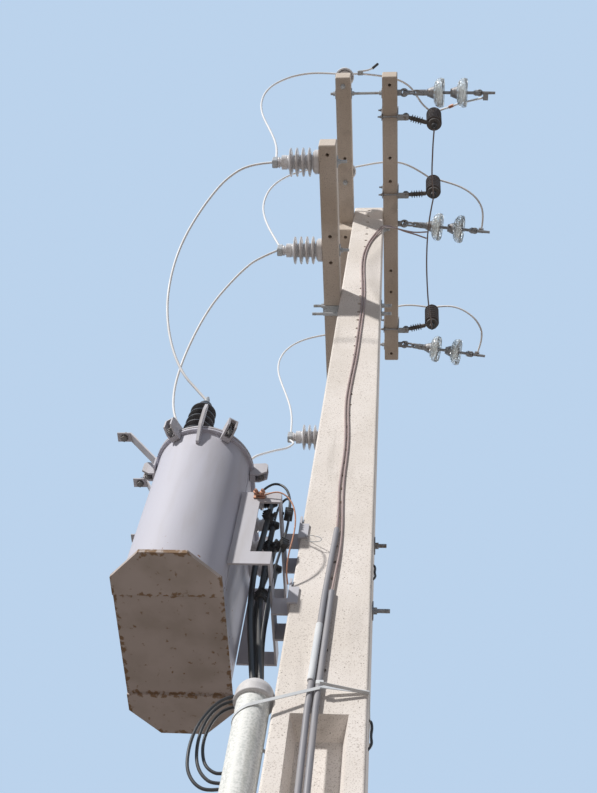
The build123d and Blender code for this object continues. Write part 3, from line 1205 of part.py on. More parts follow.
# Low-voltage cables from the tank's side down into the riser's cap
lv_tip_x = tank_side_x + LV_BUSHING_REACH - 13
lv_under = LV_BUSHING_Z - 12 - SEAT_GAP
cap_top = RISER_TOP + CAP_HEIGHT + SEAT_GAP
lv_ys = [(i - 1.5) * LV_BUSHING_PITCH for i in range(4)]
cord("lv_cable_1", [
    (lv_tip_x, lv_ys[0], lv_under), (-270, -168, 5670), (-288, -152, 5470), (-285, -130, 5270),
    (-262, -118, 5080),
    (riser_top_x - 13, RISER_Y - 13, cap_top),
], LV_CABLE_DIAMETER, UP, DOWN)
cord("lv_cable_2", [
    (lv_tip_x, lv_ys[1], lv_under), (-266, -70, 5660), (-260, -98, 5460), (-252, -112, 5265),
    (-232, -112, 5075),
    (riser_top_x + 13, RISER_Y - 13, cap_top),
], LV_CABLE_DIAMETER, UP, DOWN)
cord("lv_cable_3", [
    (lv_tip_x, lv_ys[2], lv_under), (-268, 30, 5660), (-282, -22, 5460), (-272, -62, 5265),
    (-246, -80, 5070),
    (riser_top_x - 13, RISER_Y + 13, cap_top),
], LV_CABLE_DIAMETER, UP, DOWN)
cord("lv_cable_4", [
    (lv_tip_x, lv_ys[3], lv_under), (-266, 132, 5660), (-254, 62, 5460), (-244, -8, 5265),
    (-228, -56, 5070),
    (riser_top_x + 13, RISER_Y + 13, cap_top),
], LV_CABLE_DIAMETER, UP, DOWN)

# Slack loops of cable beside the riser, from its cap round to the pipe's side


def riser_side(angle, z, radius):
    """A point round the riser's axis, its angle counted from -X towards the front."""
    axis_x = riser_top_x - (RISER_TOP - z) * riser_axis.X / riser_axis.Z
    return (axis_x - radius * cos(radians(angle)), RISER_Y - radius * sin(radians(angle)), z)


def riser_inward(angle):
    """The direction from there to the riser's axis."""
    return (cos(radians(angle)), sin(radians(angle)), 0)


leave = cap_radius + SEAT_GAP
arrive = riser_radius + SEAT_GAP
cord("cable_loop_1", [
    riser_side(14, 4818, leave), (-318, -113, 4806), (-356, -113, 4752), (-385, -112, 4682),
    (-397, -112, 4604),
    (-394, -110, 4524), (-380, -109, 4476), (-352, -106, 4438), (-316, -103, 4422),
    riser_side(5, 4432, arrive),
], COIL_CABLE_DIAMETER, riser_inward(14), riser_inward(5))
cord("cable_loop_2", [
    riser_side(-5, 4818, leave), (-316, -89, 4811), (-350, -89, 4770), (-372, -89, 4706), (-379, -88, 4636),
    (-373, -86, 4566), (-358, -85, 4520), (-334, -83, 4488), (-308, -81, 4472),
    riser_side(-15, 4474, arrive),
], COIL_CABLE_DIAMETER, riser_inward(-5), riser_inward(-15))
cord("cable_loop_3", [
    riser_side(-26, 4818, leave), (-308, -65, 4812), (-340, -65, 4776), (-360, -65, 4716),
    (-367, -64, 4650),
    (-358, -63, 4592), (-343, -63, 4556), (-318, -62, 4534), (-296, -62, 4528),
    riser_side(-34, 4534, arrive),
], COIL_CABLE_DIAMETER, riser_inward(-26), riser_inward(-34))
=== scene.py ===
"""Distribution transformer on a drilled concrete pole, dressed over its solid model.

The finishes, wires and small fittings are made here. Lengths are in metres, Z is up from the ground.
"""

import logging
import math
from dataclasses import dataclass
from enum import Enum
from typing import Iterable, Sequence

import bpy
from mathutils import Matrix, Vector


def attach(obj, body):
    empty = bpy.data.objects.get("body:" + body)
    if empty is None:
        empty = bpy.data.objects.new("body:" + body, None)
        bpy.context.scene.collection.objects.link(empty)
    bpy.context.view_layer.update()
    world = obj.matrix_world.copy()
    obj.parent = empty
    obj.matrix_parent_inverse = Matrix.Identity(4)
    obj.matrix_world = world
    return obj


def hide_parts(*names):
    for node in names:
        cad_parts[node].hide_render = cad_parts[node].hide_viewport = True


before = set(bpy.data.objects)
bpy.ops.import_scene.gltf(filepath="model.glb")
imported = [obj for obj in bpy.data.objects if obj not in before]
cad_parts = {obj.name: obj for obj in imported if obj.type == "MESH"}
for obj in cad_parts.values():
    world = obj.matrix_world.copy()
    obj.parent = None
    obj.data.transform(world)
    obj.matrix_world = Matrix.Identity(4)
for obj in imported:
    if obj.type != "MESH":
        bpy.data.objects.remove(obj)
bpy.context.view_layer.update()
LOG = logging.getLogger("transformer")
Point = tuple[float, float, float]
Colour = tuple[float, float, float]
Model = bpy.types.Object
Socket = bpy.types.NodeSocket
Value = Socket | float | Colour
EVEN: Point = (1, 1, 1)


# Finishes


class NodeWork:
    """A node tree under construction."""

    def __init__(self, tree: bpy.types.NodeTree) -> None:
        """Start with an empty tree.

        Args:
            tree: The tree, which is cleared.
        """
        self.tree = tree
        tree.nodes.clear()

    def plug(self, socket: Socket, value: Value) -> None:
        """Link a socket, or give it a constant.

        Args:
            socket: The input that takes the value.
            value: Another node's output, a number or a colour.
        """
        if isinstance(value, Socket):
            self.tree.links.new(value, socket)
        else:
            socket.default_value = (*value, 1.0) if socket.type == "RGBA" else value

    def add(self, kind: str, **inputs: Value) -> bpy.types.Node:
        """Add a node.

        Args:
            kind: Its type.
            inputs: Its inputs by name, with underscores for spaces.

        Returns:
            The node.
        """
        node = self.tree.nodes.new(kind)
        for name, value in inputs.items():
            self.plug(node.inputs[name.replace("_", " ")], value)
        return node

    def combine(self, kind: str, first: Socket, second: Value) -> Socket:
        """Put two values together.

        Args:
            kind: The operation.
            first: Its first value.
            second: Its second value.

        Returns:
            The result.
        """
        node = self.add("ShaderNodeMath")
        node.operation = kind
        self.plug(node.inputs[0], first)
        self.plug(node.inputs[1], second)
        return node.outputs[0]


class Recipe(NodeWork):
    """A material under construction, read on Object coordinates."""

    def __init__(self, name: str) -> None:
        """Start a material with one shader.

        Args:
            name: The material's name, before its ending.
        """
        self.material = bpy.data.materials.new(f"{name}_finish")
        self.material.use_nodes = True
        super().__init__(self.material.node_tree)
        self.shader = self.add("ShaderNodeBsdfPrincipled")
        self.add("ShaderNodeOutputMaterial", Surface=self.shader.outputs[0])
        self.place = self.add("ShaderNodeTexCoord").outputs["Object"]
        self.normal: Socket | None = None

    def squeezed(self, stretch: Point) -> Socket:
        """Scale the coordinates.

        Args:
            stretch: Scale along each axis.

        Returns:
            The scaled coordinates.
        """
        return self.add("ShaderNodeMapping", Vector=self.place, Scale=stretch).outputs["Vector"]

    def noise(self, scale: float, detail: float = 4.0, stretch: Point = EVEN) -> Socket:
        """Draw cloudy noise.

        Args:
            scale: Features for each metre.
            detail: Octaves.
            stretch: Scale along each axis.

        Returns:
            The noise, from 0 to 1.
        """
        place = self.squeezed(stretch)
        return self.add("ShaderNodeTexNoise", Vector=place, Scale=scale, Detail=detail).outputs[0]

    def cells(self, scale: float) -> Socket:
        """Scatter points.

        Args:
            scale: Points for each metre.

        Returns:
            The distance to the nearest point.
        """
        return self.add("ShaderNodeTexVoronoi", Vector=self.squeezed(EVEN), Scale=scale).outputs["Distance"]

    def along(self, axis: str) -> Socket:
        """Pick one coordinate.

        Args:
            axis: X, Y or Z.

        Returns:
            The coordinate.
        """
        return self.add("ShaderNodeSeparateXYZ", Vector=self.place).outputs[axis]

    def height(self, low: float, high: float) -> Socket:
        """Rise with the height.

        Args:
            low: The height of 0.
            high: The height of 1.

        Returns:
            The share.
        """
        return self.add(
            "ShaderNodeMapRange", Value=self.along("Z"), From_Min=low, From_Max=high,
        ).outputs["Result"]

    def line(self, axis: str, middle: float, offset: float, width: float) -> Socket:
        """Draw two lines, one on each side of a middle.

        Args:
            axis: X or Y, which the lines cross.
            middle: The middle's coordinate.
            offset: From the middle to each line.
            width: Where the value has faded to 0.

        Returns:
            1 on the lines, fading to 0.
        """
        away = self.combine("ABSOLUTE", self.combine("SUBTRACT", self.along(axis), middle), 0.0)
        away = self.combine("ABSOLUTE", self.combine("SUBTRACT", away, offset), 0.0)
        return self.ramp(away, width, 0.0)

    def ramp(self, value: Socket, low: float, high: float) -> Socket:
        """Stretch a value smoothly.

        Args:
            value: What is stretched.
            low: What becomes 0.
            high: What becomes 1.

        Returns:
            The stretched value.
        """
        node = self.add("ShaderNodeMapRange", Value=value, From_Min=low, From_Max=high)
        node.interpolation_type = "SMOOTHSTEP"
        return node.outputs["Result"]

    def mix(self, share: Socket, first: Value, second: Value) -> Socket:
        """Mix two colours.

        Args:
            share: How much of the second shows.
            first: The first colour.
            second: The second colour.

        Returns:
            The mixed colour.
        """
        node = self.tree.nodes.new("ShaderNodeMix")
        node.data_type = "RGBA"
        for number, value in ((0, share), (6, first), (7, second)):
            self.plug(node.inputs[number], value)
        return node.outputs[2]

    def wash(self, colour: Value, tint: Value, share: Socket, strength: float) -> Socket:
        """Wash a tint over a colour.

        Args:
            colour: What lies below.
            tint: What is washed over it.
            share: Where the tint lies.
            strength: How thick it is at most.

        Returns:
            The washed colour.
        """
        return self.mix(self.combine("MULTIPLY", share, strength), colour, tint)

    def bump(self, relief: Socket, depth: float, strength: float) -> None:
        """Add relief on what is there.

        Args:
            relief: The height, from 0 to 1.
            depth: Its real depth.
            strength: How much of it shows.
        """
        node = self.add("ShaderNodeBump", Distance=depth, Strength=strength, Height=relief)
        if self.normal is not None:
            self.plug(node.inputs["Normal"], self.normal)
        self.normal = node.outputs["Normal"]
        self.set(Normal=self.normal)

    def set(self, **values: Value) -> None:
        """Set the shader's own sockets.

        Args:
            values: The sockets by name, with underscores for spaces.
        """
        for name, value in values.items():
            self.plug(self.shader.inputs[name.replace("_", " ")], value)

    def roughen(self, share: Socket, low: float, high: float) -> None:
        """Vary the roughness.

        Args:
            share: Where it is rough.
            low: The roughness where share is 0.
            high: The roughness where share is 1.
        """
        node = self.add("ShaderNodeMapRange", Value=share, To_Min=low, To_Max=high)
        self.set(Roughness=node.outputs["Result"])


@dataclass(frozen=True)
class Concrete:
    """Cast concrete with fine aggregate, pores, runs and grime."""

    name: str
    light: Colour
    dark: Colour
    grime: Colour = (0.30, 0.27, 0.24)
    speckle: Colour = (0.42, 0.37, 0.33)

    def build(self) -> bpy.types.Material:
        """Return the material."""
        recipe = Recipe(self.name)
        broad = recipe.ramp(recipe.noise(3.1, 5), 0.35, 0.68)
        colour = recipe.mix(broad, self.light, self.dark)
        runs = recipe.ramp(recipe.noise(9.0, 5, (1, 1, 0.12)), 0.56, 0.80)
        colour = recipe.wash(colour, self.grime, runs, 0.45)
        sand = recipe.noise(210.0, 4)
        colour = recipe.wash(colour, self.speckle, recipe.ramp(sand, 0.52, 0.68), 0.6)
        pores = recipe.ramp(recipe.cells(62.0), 0.20, 0.10)
        keep = recipe.ramp(recipe.noise(30.0, 2), 0.48, 0.60)
        holes = recipe.combine("MULTIPLY", pores, keep)
        colour = recipe.wash(colour, self.grime, holes, 0.8)
        recipe.set(Base_Color=colour, Roughness=0.92)
        recipe.bump(sand, 0.0012, 0.5)
        recipe.bump(recipe.combine("SUBTRACT", recipe.noise(14.0, 3), holes), 0.0030, 0.35)
        return recipe.material


@dataclass(frozen=True)
class PaintedSteel:
    """Old paint on steel, with dirt, rain marks and rust that grows towards one height."""

    name: str
    paint: Colour
    dirt: Colour = (0.36, 0.32, 0.28)
    rust: Colour = (0.22, 0.09, 0.035)
    pale_rust: Colour = (0.34, 0.16, 0.07)
    dirt_share: float = 0.4
    rust_from: float = 0.62
    rust_heights: tuple[float, float] = (0.0, -1.0)
    gloss: float = 0.58

    def build(self) -> bpy.types.Material:
        """Return the material."""
        recipe = Recipe(self.name)
        runs = recipe.ramp(recipe.noise(13.0, 6, (1, 1, 0.16)), 0.46, 0.74)
        colour = recipe.wash(self.paint, self.dirt, runs, self.dirt_share)
        dust = recipe.ramp(recipe.noise(2.6, 4), 0.35, 0.75)
        colour = recipe.wash(colour, self.dirt, dust, 0.30 * self.dirt_share)
        near = recipe.height(*self.rust_heights)
        blots = recipe.combine("ADD", recipe.noise(38.0, 8), recipe.combine("MULTIPLY", near, 0.16))
        rusted = recipe.ramp(blots, self.rust_from, self.rust_from + 0.07)
        grain = recipe.mix(recipe.noise(260.0, 3), self.rust, self.pale_rust)
        recipe.set(Base_Color=recipe.mix(rusted, colour, grain))
        recipe.roughen(rusted, self.gloss, 0.9)
        recipe.set(Specular_IOR_Level=0.25)
        recipe.bump(recipe.noise(55.0, 4), 0.0008, 0.35)
        recipe.bump(rusted, 0.0006, 0.5)
        return recipe.material


@dataclass(frozen=True)
class StainedSheet:
    """Painted sheet seen from below, dusty, with brown stains that creep out of its seams and edges."""

    name: str
    paint: Colour
    dirt: Colour = (0.36, 0.31, 0.27)
    rust: Colour = (0.20, 0.115, 0.055)
    pale_rust: Colour = (0.30, 0.19, 0.10)
    middle: tuple[float, float] = (-0.558, 0.0)
    seam: float = 0.232
    edges: tuple[float, float] = (0.197, 0.4215)

    def build(self) -> bpy.types.Material:
        """Return the material."""
        recipe = Recipe(self.name)
        dust = recipe.ramp(recipe.noise(7.0, 6), 0.36, 0.72)
        colour = recipe.wash(self.paint, self.dirt, dust, 0.55)
        near = recipe.line("Y", self.middle[1], self.seam, 0.022)
        for axis, middle, edge in zip("XY", self.middle, self.edges):
            near = recipe.combine("MAXIMUM", near, recipe.line(axis, middle, edge, 0.030))
        blots = recipe.combine("ADD", recipe.noise(44.0, 9), recipe.combine("MULTIPLY", near, 0.20))
        rusted = recipe.ramp(blots, 0.62, 0.74)
        grain = recipe.mix(recipe.noise(230.0, 3), self.rust, self.pale_rust)
        recipe.set(Base_Color=recipe.wash(colour, grain, rusted, 0.85))
        recipe.roughen(rusted, 0.7, 0.95)
        recipe.set(Specular_IOR_Level=0.2)
        recipe.bump(recipe.noise(30.0, 4), 0.0010, 0.3)
        recipe.bump(rusted, 0.0006, 0.5)
        return recipe.material


@dataclass(frozen=True)
class Galvanised:
    """Hot-dip zinc gone dull, with its spangle and white and brown stains."""

    name: str
    zinc: Colour = (0.50, 0.51, 0.52)
    stain: Colour = (0.25, 0.17, 0.11)
    stain_from: float = 0.60

    def build(self) -> bpy.types.Material:
        """Return the material."""
        recipe = Recipe(self.name)
        spangle = recipe.ramp(recipe.cells(240.0), 0.1, 0.8)
        colour = recipe.mix(spangle, self.zinc, tuple(c * 0.72 for c in self.zinc))
        stained = recipe.ramp(recipe.noise(46.0, 6), self.stain_from, self.stain_from + 0.14)
        recipe.set(Base_Color=recipe.wash(colour, self.stain, stained, 0.8))
        recipe.roughen(recipe.noise(120.0, 3), 0.42, 0.72)
        recipe.set(Metallic=0.55)
        recipe.bump(recipe.noise(170.0, 4), 0.0005, 0.4)
        return recipe.material


@dataclass(frozen=True)
class Glaze:
    """Glazed porcelain or satin rubber, with dust in a cloudy film."""

    name: str
    colour: Colour
    dust: Colour = (0.42, 0.39, 0.36)
    dust_share: float = 0.25
    gloss: float = 0.16
    coat: float = 0.5

    def build(self) -> bpy.types.Material:
        """Return the material."""
        recipe = Recipe(self.name)
        film = recipe.ramp(recipe.noise(22.0, 6), 0.38, 0.76)
        colour = recipe.wash(self.colour, self.dust, film, self.dust_share)
        specks = recipe.ramp(recipe.noise(310.0, 2), 0.66, 0.74)
        recipe.set(Base_Color=recipe.wash(colour, self.dust, specks, 0.5))
        recipe.roughen(film, self.gloss, min(1.0, self.gloss + 0.3))
        recipe.set(Coat_Weight=self.coat, Coat_Roughness=0.12)
        recipe.bump(recipe.noise(90.0, 3), 0.0004, 0.25)
        return recipe.material


@dataclass(frozen=True)
class Plastic:
    """Moulded or extruded plastic, chalked by the sun and dusty."""

    name: str
    colour: Colour
    chalk: Colour
    chalk_share: float = 0.5
    roughness: float = 0.55
    sheath_lines: bool = False

    def build(self) -> bpy.types.Material:
        """Return the material."""
        recipe = Recipe(self.name)
        worn = recipe.ramp(recipe.noise(16.0, 6, (1, 1, 0.35)), 0.36, 0.72)
        colour = recipe.wash(self.colour, self.chalk, worn, self.chalk_share)
        specks = recipe.ramp(recipe.noise(240.0, 3), 0.60, 0.72)
        grit = tuple(c * 0.55 for c in self.colour)
        recipe.set(Base_Color=recipe.wash(colour, grit, specks, 0.45))
        recipe.roughen(worn, self.roughness - 0.1, self.roughness + 0.2)
        recipe.bump(recipe.noise(420.0 if self.sheath_lines else 70.0, 3), 0.0005, 0.3)
        return recipe.material


@dataclass(frozen=True)
class Mottled:
    """Zinc-coated or chalked pipe in pale blotches over a darker ground, with streaks down it."""

    name: str
    ground: Colour
    blotch: Colour
    streak: Colour = (0.33, 0.33, 0.28)

    def build(self) -> bpy.types.Material:
        """Return the material."""
        recipe = Recipe(self.name)
        blotches = recipe.ramp(recipe.noise(135.0, 6), 0.38, 0.60)
        colour = recipe.mix(blotches, self.ground, self.blotch)
        streaks = recipe.ramp(recipe.noise(24.0, 5, (1, 1, 0.08)), 0.54, 0.76)
        recipe.set(Base_Color=recipe.wash(colour, self.streak, streaks, 0.5))
        recipe.roughen(blotches, 0.45, 0.8)
        recipe.bump(recipe.noise(140.0, 4), 0.0006, 0.4)
        return recipe.material


@dataclass(frozen=True)
class ClearGlass:
    """Toughened glass with a faint green body and a film of dust."""

    name: str
    body: Colour = (0.97, 0.99, 0.985)
    dust: Colour = (0.92, 0.93, 0.93)

    def build(self) -> bpy.types.Material:
        """Return the material."""
        recipe = Recipe(self.name)
        film = recipe.ramp(recipe.noise(18.0, 4), 0.40, 0.80)
        recipe.set(Base_Color=recipe.mix(film, self.body, self.dust))
        recipe.roughen(film, 0.04, 0.20)
        recipe.set(IOR=1.45, Transmission_Weight=0.80, Specular_IOR_Level=0.6)
        recipe.bump(recipe.noise(24.0, 2), 0.0006, 0.15)
        return recipe.material


class Finish(Enum):
    """The finishes of the pole, its arms, the transformer and their fittings."""

    POLE = Concrete("pole_concrete", (0.90, 0.855, 0.82), (0.80, 0.75, 0.70))
    # The arms get a darker, browner copy of the pole's concrete: painted shade for their undersides.
    ARM_PAINTED_SHADE = Concrete("arm_concrete", (0.74, 0.67, 0.60), (0.62, 0.54, 0.46))
    ZINC = Galvanised("galvanised_steel")
    HARDWARE = Galvanised("string_hardware", (0.33, 0.33, 0.34), (0.13, 0.09, 0.06), 0.54)
    DARK_ZINC = Galvanised("weathered_hardware", (0.20, 0.19, 0.185), (0.16, 0.10, 0.06), 0.55)
    PORCELAIN = Glaze("porcelain", (0.78, 0.78, 0.80), dust_share=0.2)
    TANK = PaintedSteel(
        "tank_paint", (0.60, 0.605, 0.69), dirt_share=0.22, rust_from=0.76, rust_heights=(5.50, 5.19),
    )
    TRIM = PaintedSteel("trim_paint", (0.60, 0.60, 0.65), rust_from=0.76, dirt_share=0.35)
    BASE = StainedSheet("base_paint", (0.56, 0.50, 0.48))
    BRACKET = PaintedSteel("bracket_paint", (0.64, 0.65, 0.72), rust_from=0.70, dirt_share=0.4)
    ARRESTER = Glaze("arrester_rubber", (0.050, 0.034, 0.030), dust_share=0.10, gloss=0.42, coat=0.0)
    BUSHING = Glaze("bushing_rubber", (0.030, 0.028, 0.034), dust_share=0.10, gloss=0.30, coat=0.2)
    BLACK = Plastic("black_plastic", (0.030, 0.030, 0.032), (0.10, 0.095, 0.09), 0.3)
    RESIN = Plastic("grey_resin", (0.085, 0.075, 0.070), (0.20, 0.18, 0.16), 0.4)
    PIPE = Mottled("grey_pvc", (0.70, 0.73, 0.71), (0.92, 0.94, 0.93))
    CAP = Plastic("pale_pvc", (0.64, 0.63, 0.65), (0.78, 0.78, 0.78), 0.5)
    CONDUIT = Plastic("conduit_pvc", (0.30, 0.30, 0.33), (0.46, 0.45, 0.46), 0.5)
    TAPE = Plastic("strap_tape", (0.66, 0.70, 0.74), (0.80, 0.81, 0.82), 0.4)
    CABLE = Plastic("black_cable", (0.018, 0.018, 0.020), (0.10, 0.10, 0.10), 0.35, 0.45, True)
    WIRE = Plastic("light_wire", (0.90, 0.92, 0.95), (0.95, 0.95, 0.96), 0.5, 0.5, True)
    # The earth wires under the arm are a darker brown than the same wire down the pole: painted shade.
    EARTH_PAINTED_SHADE = Plastic("earth_wire", (0.17, 0.125, 0.115), (0.30, 0.25, 0.22), 0.45, 0.5, True)
    DULL_WIRE = Plastic("dull_wire", (0.40, 0.30, 0.29), (0.54, 0.46, 0.44), 0.45, 0.5, True)
    COPPER = Galvanised("copper_wire", (0.52, 0.27, 0.18), (0.20, 0.15, 0.11), 0.55)
    GLASS = ClearGlass("clear_glass")

    @property
    def material(self) -> bpy.types.Material:
        """The finish's material, built when first asked for."""
        found = bpy.data.materials.get(f"{self.value.name}_finish")
        return found if found is not None else self.value.build()


CAD_FINISHES: dict[Finish, tuple[str, ...]] = {
    Finish.POLE: ("pole",),
    Finish.ARM_PAINTED_SHADE: ("crossarm_right", "crossarm_left", "crossarm_lower", "crossarm_short"),
    Finish.ZINC: ("arm_bolts", "arm_seat", "insulator_fittings"),
    Finish.HARDWARE: (
        "string_1_fittings", "string_2_fittings", "string_3_fittings", "arrester_clamps", "support_bolts",
    ),
    Finish.PORCELAIN: ("pin_insulators", "post_insulators", "lv_bushings"),
    Finish.GLASS: ("glass_discs",),
    Finish.ARRESTER: ("arresters",),
    Finish.BLACK: ("disconnectors", "lid_gasket"),
    Finish.RESIN: ("arrester_brackets",),
    Finish.TANK: ("tank",),
    Finish.TRIM: ("lid", "lid_clamps", "tank_bars", "hanger_plates", "hanger_webs"),
    Finish.BASE: ("base_plate", "base_end_panels"),
    Finish.BRACKET: ("pole_supports",),
    Finish.BUSHING: ("hv_bushings",),
    Finish.PIPE: ("riser_pipe",),
    Finish.CAP: ("riser_cap",),
    Finish.CONDUIT: ("conduits",),
    Finish.TAPE: ("strap",),
}


def dress_cad_nodes() -> None:
    """Give every carried-over solid its finish."""
    for finish, nodes in CAD_FINISHES.items():
        for node in nodes:
            mesh = bpy.data.objects[node].data
            mesh.materials.clear()
            mesh.materials.append(finish.material)
            LOG.info("%s is finished in %s", node, finish.value.name)


# Wires and cables


def smooth_line(name: str, route: Sequence[Point], radius: float, sides: int, steps: int) -> Model:
    """Draw a round line that runs smoothly by its points.

    Args:
        name: Its name.
        route: The control points.
        radius: Half of its thickness.
        sides: The fineness of its section.
        steps: The fineness of its length.

    Returns:
        The line as a curve.
    """
    curve = bpy.data.curves.new(name, "CURVE")
    curve.dimensions = "3D"
    curve.bevel_depth = radius
    curve.bevel_resolution = sides
    curve.resolution_u = steps
    curve.use_fill_caps = True
    spline = curve.splines.new("NURBS")
    spline.points.add(len(route) - 1)
    for point, place in zip(spline.points, route):
        point.co = (*place, 1.0)
    spline.order_u = 3
    spline.use_endpoint_u = True
    line = bpy.data.objects.new(curve.name, curve)
    bpy.context.scene.collection.objects.link(line)
    return line


@dataclass(frozen=True)
class Wire:
    """One wire on its own smooth line, in the place of its solid."""

    node: str
    length: float
    route: tuple[Point, ...]
    diameter: float = 0.012
    finish: Finish = Finish.WIRE
    stiffness: str = "stiff"
    lay: str = "hanging"
    solid: bool = True

    def build(self) -> None:
        wire = smooth_line(f"wire_{self.node}", self.route, self.diameter / 2, sides=5, steps=10)
        wire.data.materials.append(self.finish.material)
        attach(wire, "root")
        if self.solid:
            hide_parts(self.node)


